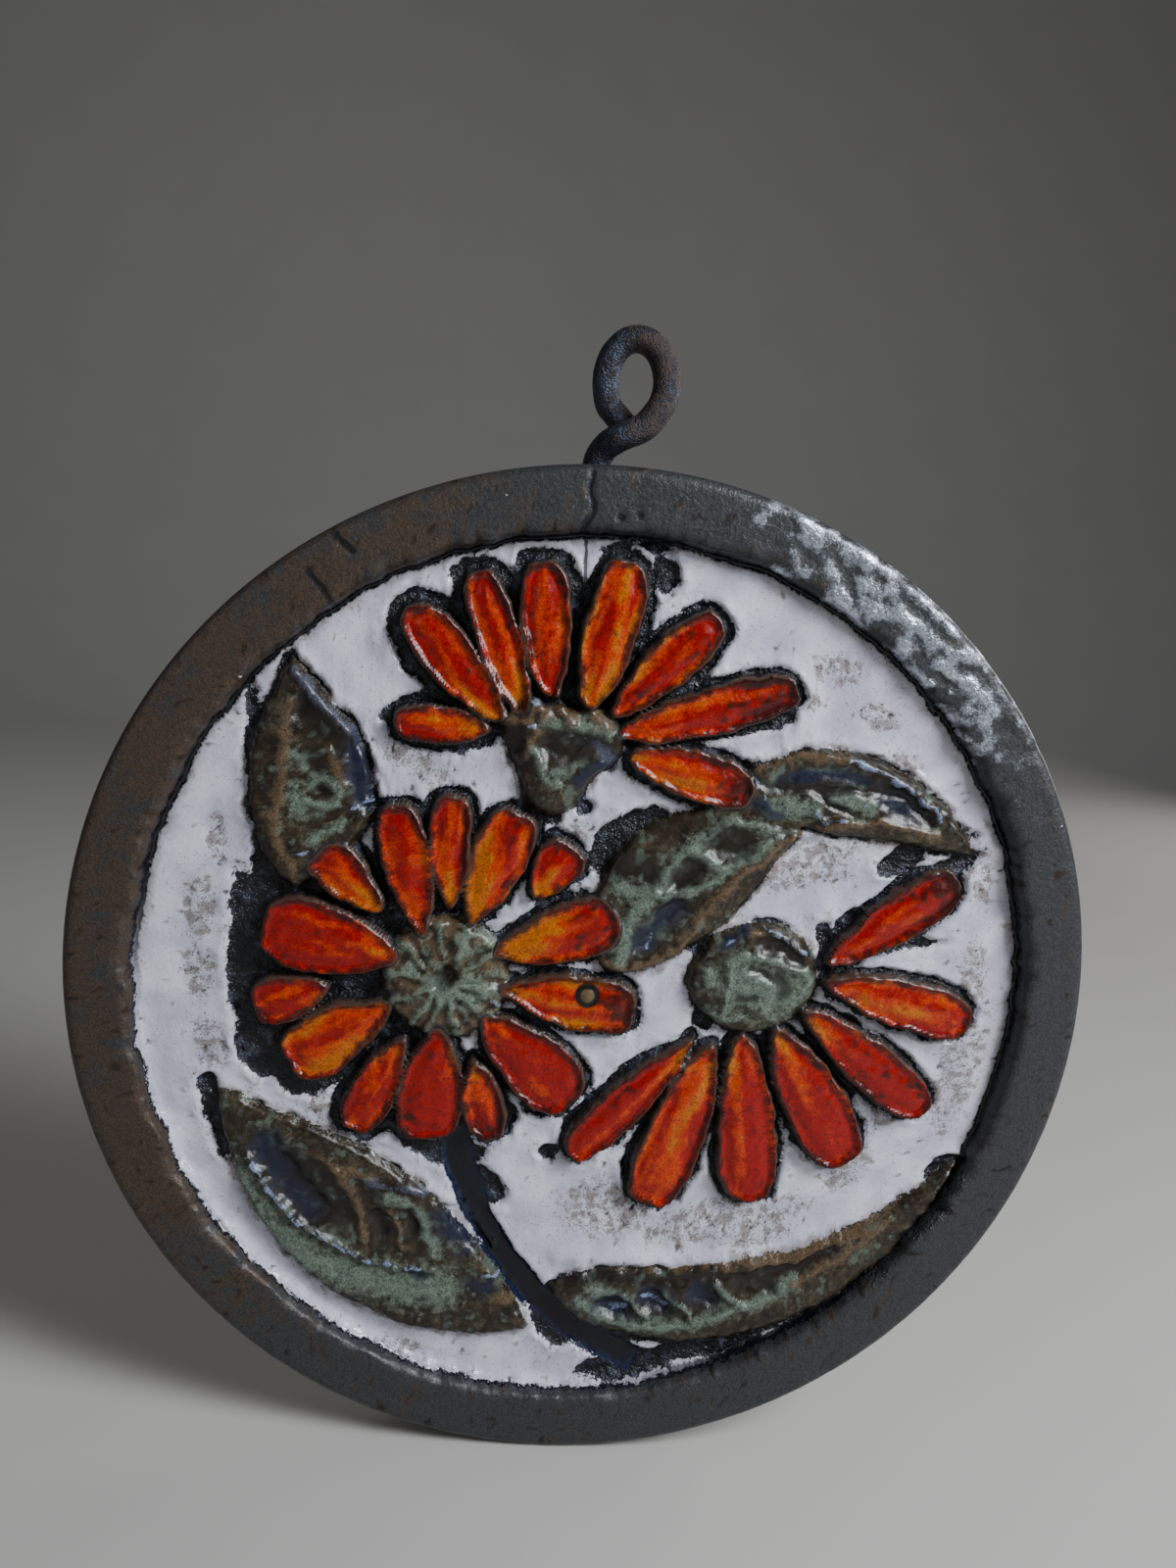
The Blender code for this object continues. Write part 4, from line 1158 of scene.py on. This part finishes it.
def paper(colour):
    """The plain surface under and behind the plaque."""
    s = Shader("plain_paper")
    cloud = s.step(s.noise(90, 1), -1.5, 1.5)
    faint = s.mix(cloud, tuple(colour), tuple(c * 0.96 for c in colour))
    return s.finish(Base_Color=faint, Roughness=0.85)


def tint(name, description, *screen):
    """A colour setting whose default is given as on a screen."""
    return bpy.props.FloatVectorProperty(
        name=name, description=description, default=srgb(*screen), subtype="COLOR", min=0, max=1,
        size=3,
    )


class GlazeColours(bpy.types.PropertyGroup):
    """Colours of the disc's glazes."""

    white: tint("White", "Thick parts of the white ground", 216, 218, 230)
    white_shade: tint("White shade", "Thin parts of the white", 188, 190, 206)
    speck: tint("Speck", "Specks in the white", 78, 68, 60)
    stain: tint("Stain", "Brown stains on the white", 124, 113, 106)
    dark: tint("Dark", "Bare clay in the grooves", 20, 21, 26)
    slate: tint("Slate", "Blue-grey bloom on clay and lips", 66, 72, 88)
    soot: tint("Soot", "Brown-black of the pits", 24, 20, 18)
    lilac: tint("Lilac", "Where brown runs under the white", 128, 116, 116)
    stem: tint("Stem", "The stem's black", 13, 14, 24)
    navy: tint("Navy", "Blue pools in the leaves", 15, 26, 52)
    umber: tint("Umber", "Brown of the leaves", 40, 30, 21)
    olive: tint("Olive", "Greenish brown of the leaves", 64, 60, 44)
    celadon: tint("Celadon", "Pale green of the leaves", 102, 117, 105)
    tan: tint("Tan", "Light brown edges of the leaves", 94, 76, 56)
    # Painted highlight: pale blue glints of light on the ridges and edges of leaves and hearts
    frost: tint("Frost", "Thick pale blue glaze on edges", 118, 134, 166)
    red: tint("Red", "Petals' red", 172, 8, 1)
    orange: tint("Orange", "Petals' orange", 216, 62, 2)
    ochre: tint("Ochre", "Petals' ochre", 212, 112, 5)
    ember: tint("Ember", "Burnt edges of the petals", 52, 16, 10)
    lip: tint("Lip", "Brown lips of the petals", 66, 50, 42)
    rim_brown: tint("Rim brown", "Brown of the rim", 72, 60, 50)
    rim_grey: tint("Rim grey", "Grey of the rim", 58, 60, 62)
    # Painted highlight: the pale colour of the sheen on the rim's upper right
    rim_blue: tint("Rim blue", "Cool sheen of the rim", 196, 203, 216)
    clay: tint("Clay", "Unglazed back", 150, 128, 108)
    clay_dark: tint("Dark clay", "Darker places of the back", 120, 100, 84)


class IronColours(bpy.types.PropertyGroup):
    """Colours of the hanging loop."""

    scale: tint("Scale", "Black forge scale", 46, 46, 52)
    rust: tint("Rust", "Brown rust", 68, 55, 49)
    rust_bright: tint("Bright rust", "Orange rust in the pits", 90, 67, 54)
    worn: tint("Worn", "Rubbed, bluish iron", 74, 82, 98)


class PlaqueSettings(bpy.types.PropertyGroup):
    """Sizes of the meshes and of the stage."""

    cells: bpy.props.IntProperty(
        name="Cells", description="Cells across the disc before it is refined", default=158, min=40
    )
    rod_sides: bpy.props.IntProperty(
        name="Rod sides", description="Sides of the rod's section", default=28, min=8
    )
    key_power: bpy.props.FloatProperty(
        name="Key light", description="Power of the main light", default=15.0, min=0, unit="POWER"
    )
    fill_power: bpy.props.FloatProperty(
        name="Fill light", description="Power of the soft light", default=2.0, min=0, unit="POWER"
    )
    rear_power: bpy.props.FloatProperty(
        name="Rear light", description="Power of the light behind", default=6.0, min=0,
        unit="POWER",
    )
    sky: bpy.props.FloatProperty(
        name="Sky", description="Strength of the light from all round", default=0.1, min=0
    )
    floor: tint("Floor", "Colour of the floor and backdrop", 184, 182, 178)


def colours_of(group):
    return {name: tuple(getattr(group, name)) for name in group.__annotations__}


class PLAQUE_OT_disc(bpy.types.Operator):
    """Make the glazed disc with its relief in place of the plain solid"""

    bl_idname = "plaque.disc"
    bl_label = "Glazed Disc"

    def execute(self, context):
        material = glazes(colours_of(context.scene.plaque_glazes))
        disc = make_disc("glazed_disc", context.scene.plaque_settings.cells, material)
        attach(disc, "root")
        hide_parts("plaque_disc")
        return {"FINISHED"}


class PLAQUE_OT_loop(bpy.types.Operator):
    """Make the forged iron loop in place of the plain rod"""

    bl_idname = "plaque.loop"
    bl_label = "Iron Loop"

    def execute(self, context):
        material = rust(colours_of(context.scene.plaque_iron))
        loop = make_loop("forged_loop", context.scene.plaque_settings.rod_sides, material)
        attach(loop, "root")
        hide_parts("hanging_loop")
        return {"FINISHED"}


# The camera in the face frame, as the disc's outline in the picture gives it
CAMERA_PLACE = Vector((-20.1, 110.0, 311.9))
CAMERA_PITCH, CAMERA_YAW = math.radians(9.7), math.radians(3.8)
LENS, SENSOR = 27.0, 36.0

# Each light: its name, place, size and colour
WARM, COOL = (1.0, 0.98, 0.95), (0.93, 0.96, 1.0)
LIGHTS = (
    ("key", (0.62, -0.5, 0.4), (0.3, 0.45), COOL),
    ("fill", (-0.9, -0.9, 0.25), (0.9, 0.9), WARM),
    ("rear", (1.25, 0.95, 0.3), (0.6, 0.6), WARM),
)
LIGHT_TARGET = Vector((0, 0, -0.17))
SKY_COLOUR = (0.92, 0.95, 1.0, 1)


def add_camera(scene):
    """The camera where the photographer stood."""
    camera = bpy.data.objects.new("camera", bpy.data.cameras.new("camera"))
    camera.data.lens = LENS
    camera.data.sensor_width = SENSOR
    camera.data.clip_start = 0.01
    turn = Matrix.Rotation(CAMERA_PITCH, 3, "X") @ Matrix.Rotation(CAMERA_YAW, 3, "Y")
    place = FACE @ Matrix.Translation(CAMERA_PLACE) @ turn.transposed().to_4x4()
    location, rotation, _ = place.decompose()
    camera.matrix_world = Matrix.LocRotScale(location, rotation, None)
    scene.collection.objects.link(camera)
    scene.camera = camera


def add_light(scene, name, place, size, colour, power):
    """A soft light that faces the plaque's middle."""
    light = bpy.data.objects.new(name, bpy.data.lights.new(name, "AREA"))
    light.data.shape = "RECTANGLE"
    light.data.size, light.data.size_y = size
    light.data.energy = power
    light.data.color = colour
    light.location = place
    ahead = LIGHT_TARGET - Vector(place)
    light.rotation_euler = ahead.to_track_quat("-Z", "Y").to_euler()
    scene.collection.objects.link(light)


def add_floor(scene, colour):
    """A floor that bends up into a backdrop far behind the plaque."""
    bm = bmesh.new()
    bmesh.ops.create_grid(bm, x_segments=8, y_segments=64, size=1)
    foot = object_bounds()[0][2]
    half_width, length, front = 5, 7, -3
    bend, start, steep, rise, drop = 0.9, 1.4, 3, 3.0, 0.0002
    for vertex in bm.verts:
        x, along = vertex.co.x * half_width, (vertex.co.y + 1) * length / 2 + front
        turn = min(max((along - start) / bend, 0), math.pi / 2)
        beyond = max(along - start - bend * math.pi / 2, 0)
        y = min(along, start) + bend * math.sin(turn)
        z = bend * (1 - math.cos(turn)) + min(beyond * steep, rise)
        vertex.co = (x, y, foot + z - drop)
    floor = new_object("floor", bm, paper(colour))
    floor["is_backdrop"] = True


class PLAQUE_OT_stage(bpy.types.Operator):
    """Make the floor, the lights and the camera"""

    bl_idname = "plaque.stage"
    bl_label = "Stage"

    def execute(self, context):
        scene, settings = context.scene, context.scene.plaque_settings
        add_floor(scene, settings.floor)
        powers = (settings.key_power, settings.fill_power, settings.rear_power)
        for light, power in zip(LIGHTS, powers):
            add_light(scene, *light, power)
        world = bpy.data.worlds.new("studio")
        world.use_nodes = True
        background = world.node_tree.nodes["Background"].inputs
        background["Color"].default_value = SKY_COLOUR
        background["Strength"].default_value = settings.sky
        scene.world = world
        add_camera(scene)
        return {"FINISHED"}


class PLAQUE_PT_panel(bpy.types.Panel):
    """The plaque's pieces and settings"""

    bl_idname = "PLAQUE_PT_panel"
    bl_label = "Flower Wall Plaque"
    bl_space_type = "VIEW_3D"
    bl_region_type = "UI"
    bl_category = "Plaque"

    def draw(self, context):
        layout = self.layout
        for operator in (PLAQUE_OT_disc, PLAQUE_OT_loop, PLAQUE_OT_stage):
            layout.operator(operator.bl_idname)
        for group in ("plaque_settings", "plaque_glazes", "plaque_iron"):
            settings = getattr(context.scene, group)
            for name in settings.__annotations__:
                layout.prop(settings, name)


CLASSES = (
    GlazeColours, IronColours, PlaqueSettings, PLAQUE_OT_disc, PLAQUE_OT_loop, PLAQUE_OT_stage,
    PLAQUE_PT_panel,
)


def register():
    for item in CLASSES:
        bpy.utils.register_class(item)
    bpy.types.Scene.plaque_glazes = bpy.props.PointerProperty(type=GlazeColours)
    bpy.types.Scene.plaque_iron = bpy.props.PointerProperty(type=IronColours)
    bpy.types.Scene.plaque_settings = bpy.props.PointerProperty(type=PlaqueSettings)


def unregister():
    del bpy.types.Scene.plaque_settings
    del bpy.types.Scene.plaque_iron
    del bpy.types.Scene.plaque_glazes
    for item in reversed(CLASSES):
        bpy.utils.unregister_class(item)


def main():
    register()
    bpy.ops.plaque.disc()
    bpy.ops.plaque.loop()
    bpy.ops.plaque.stage()


if __name__ == "__main__":
    main()
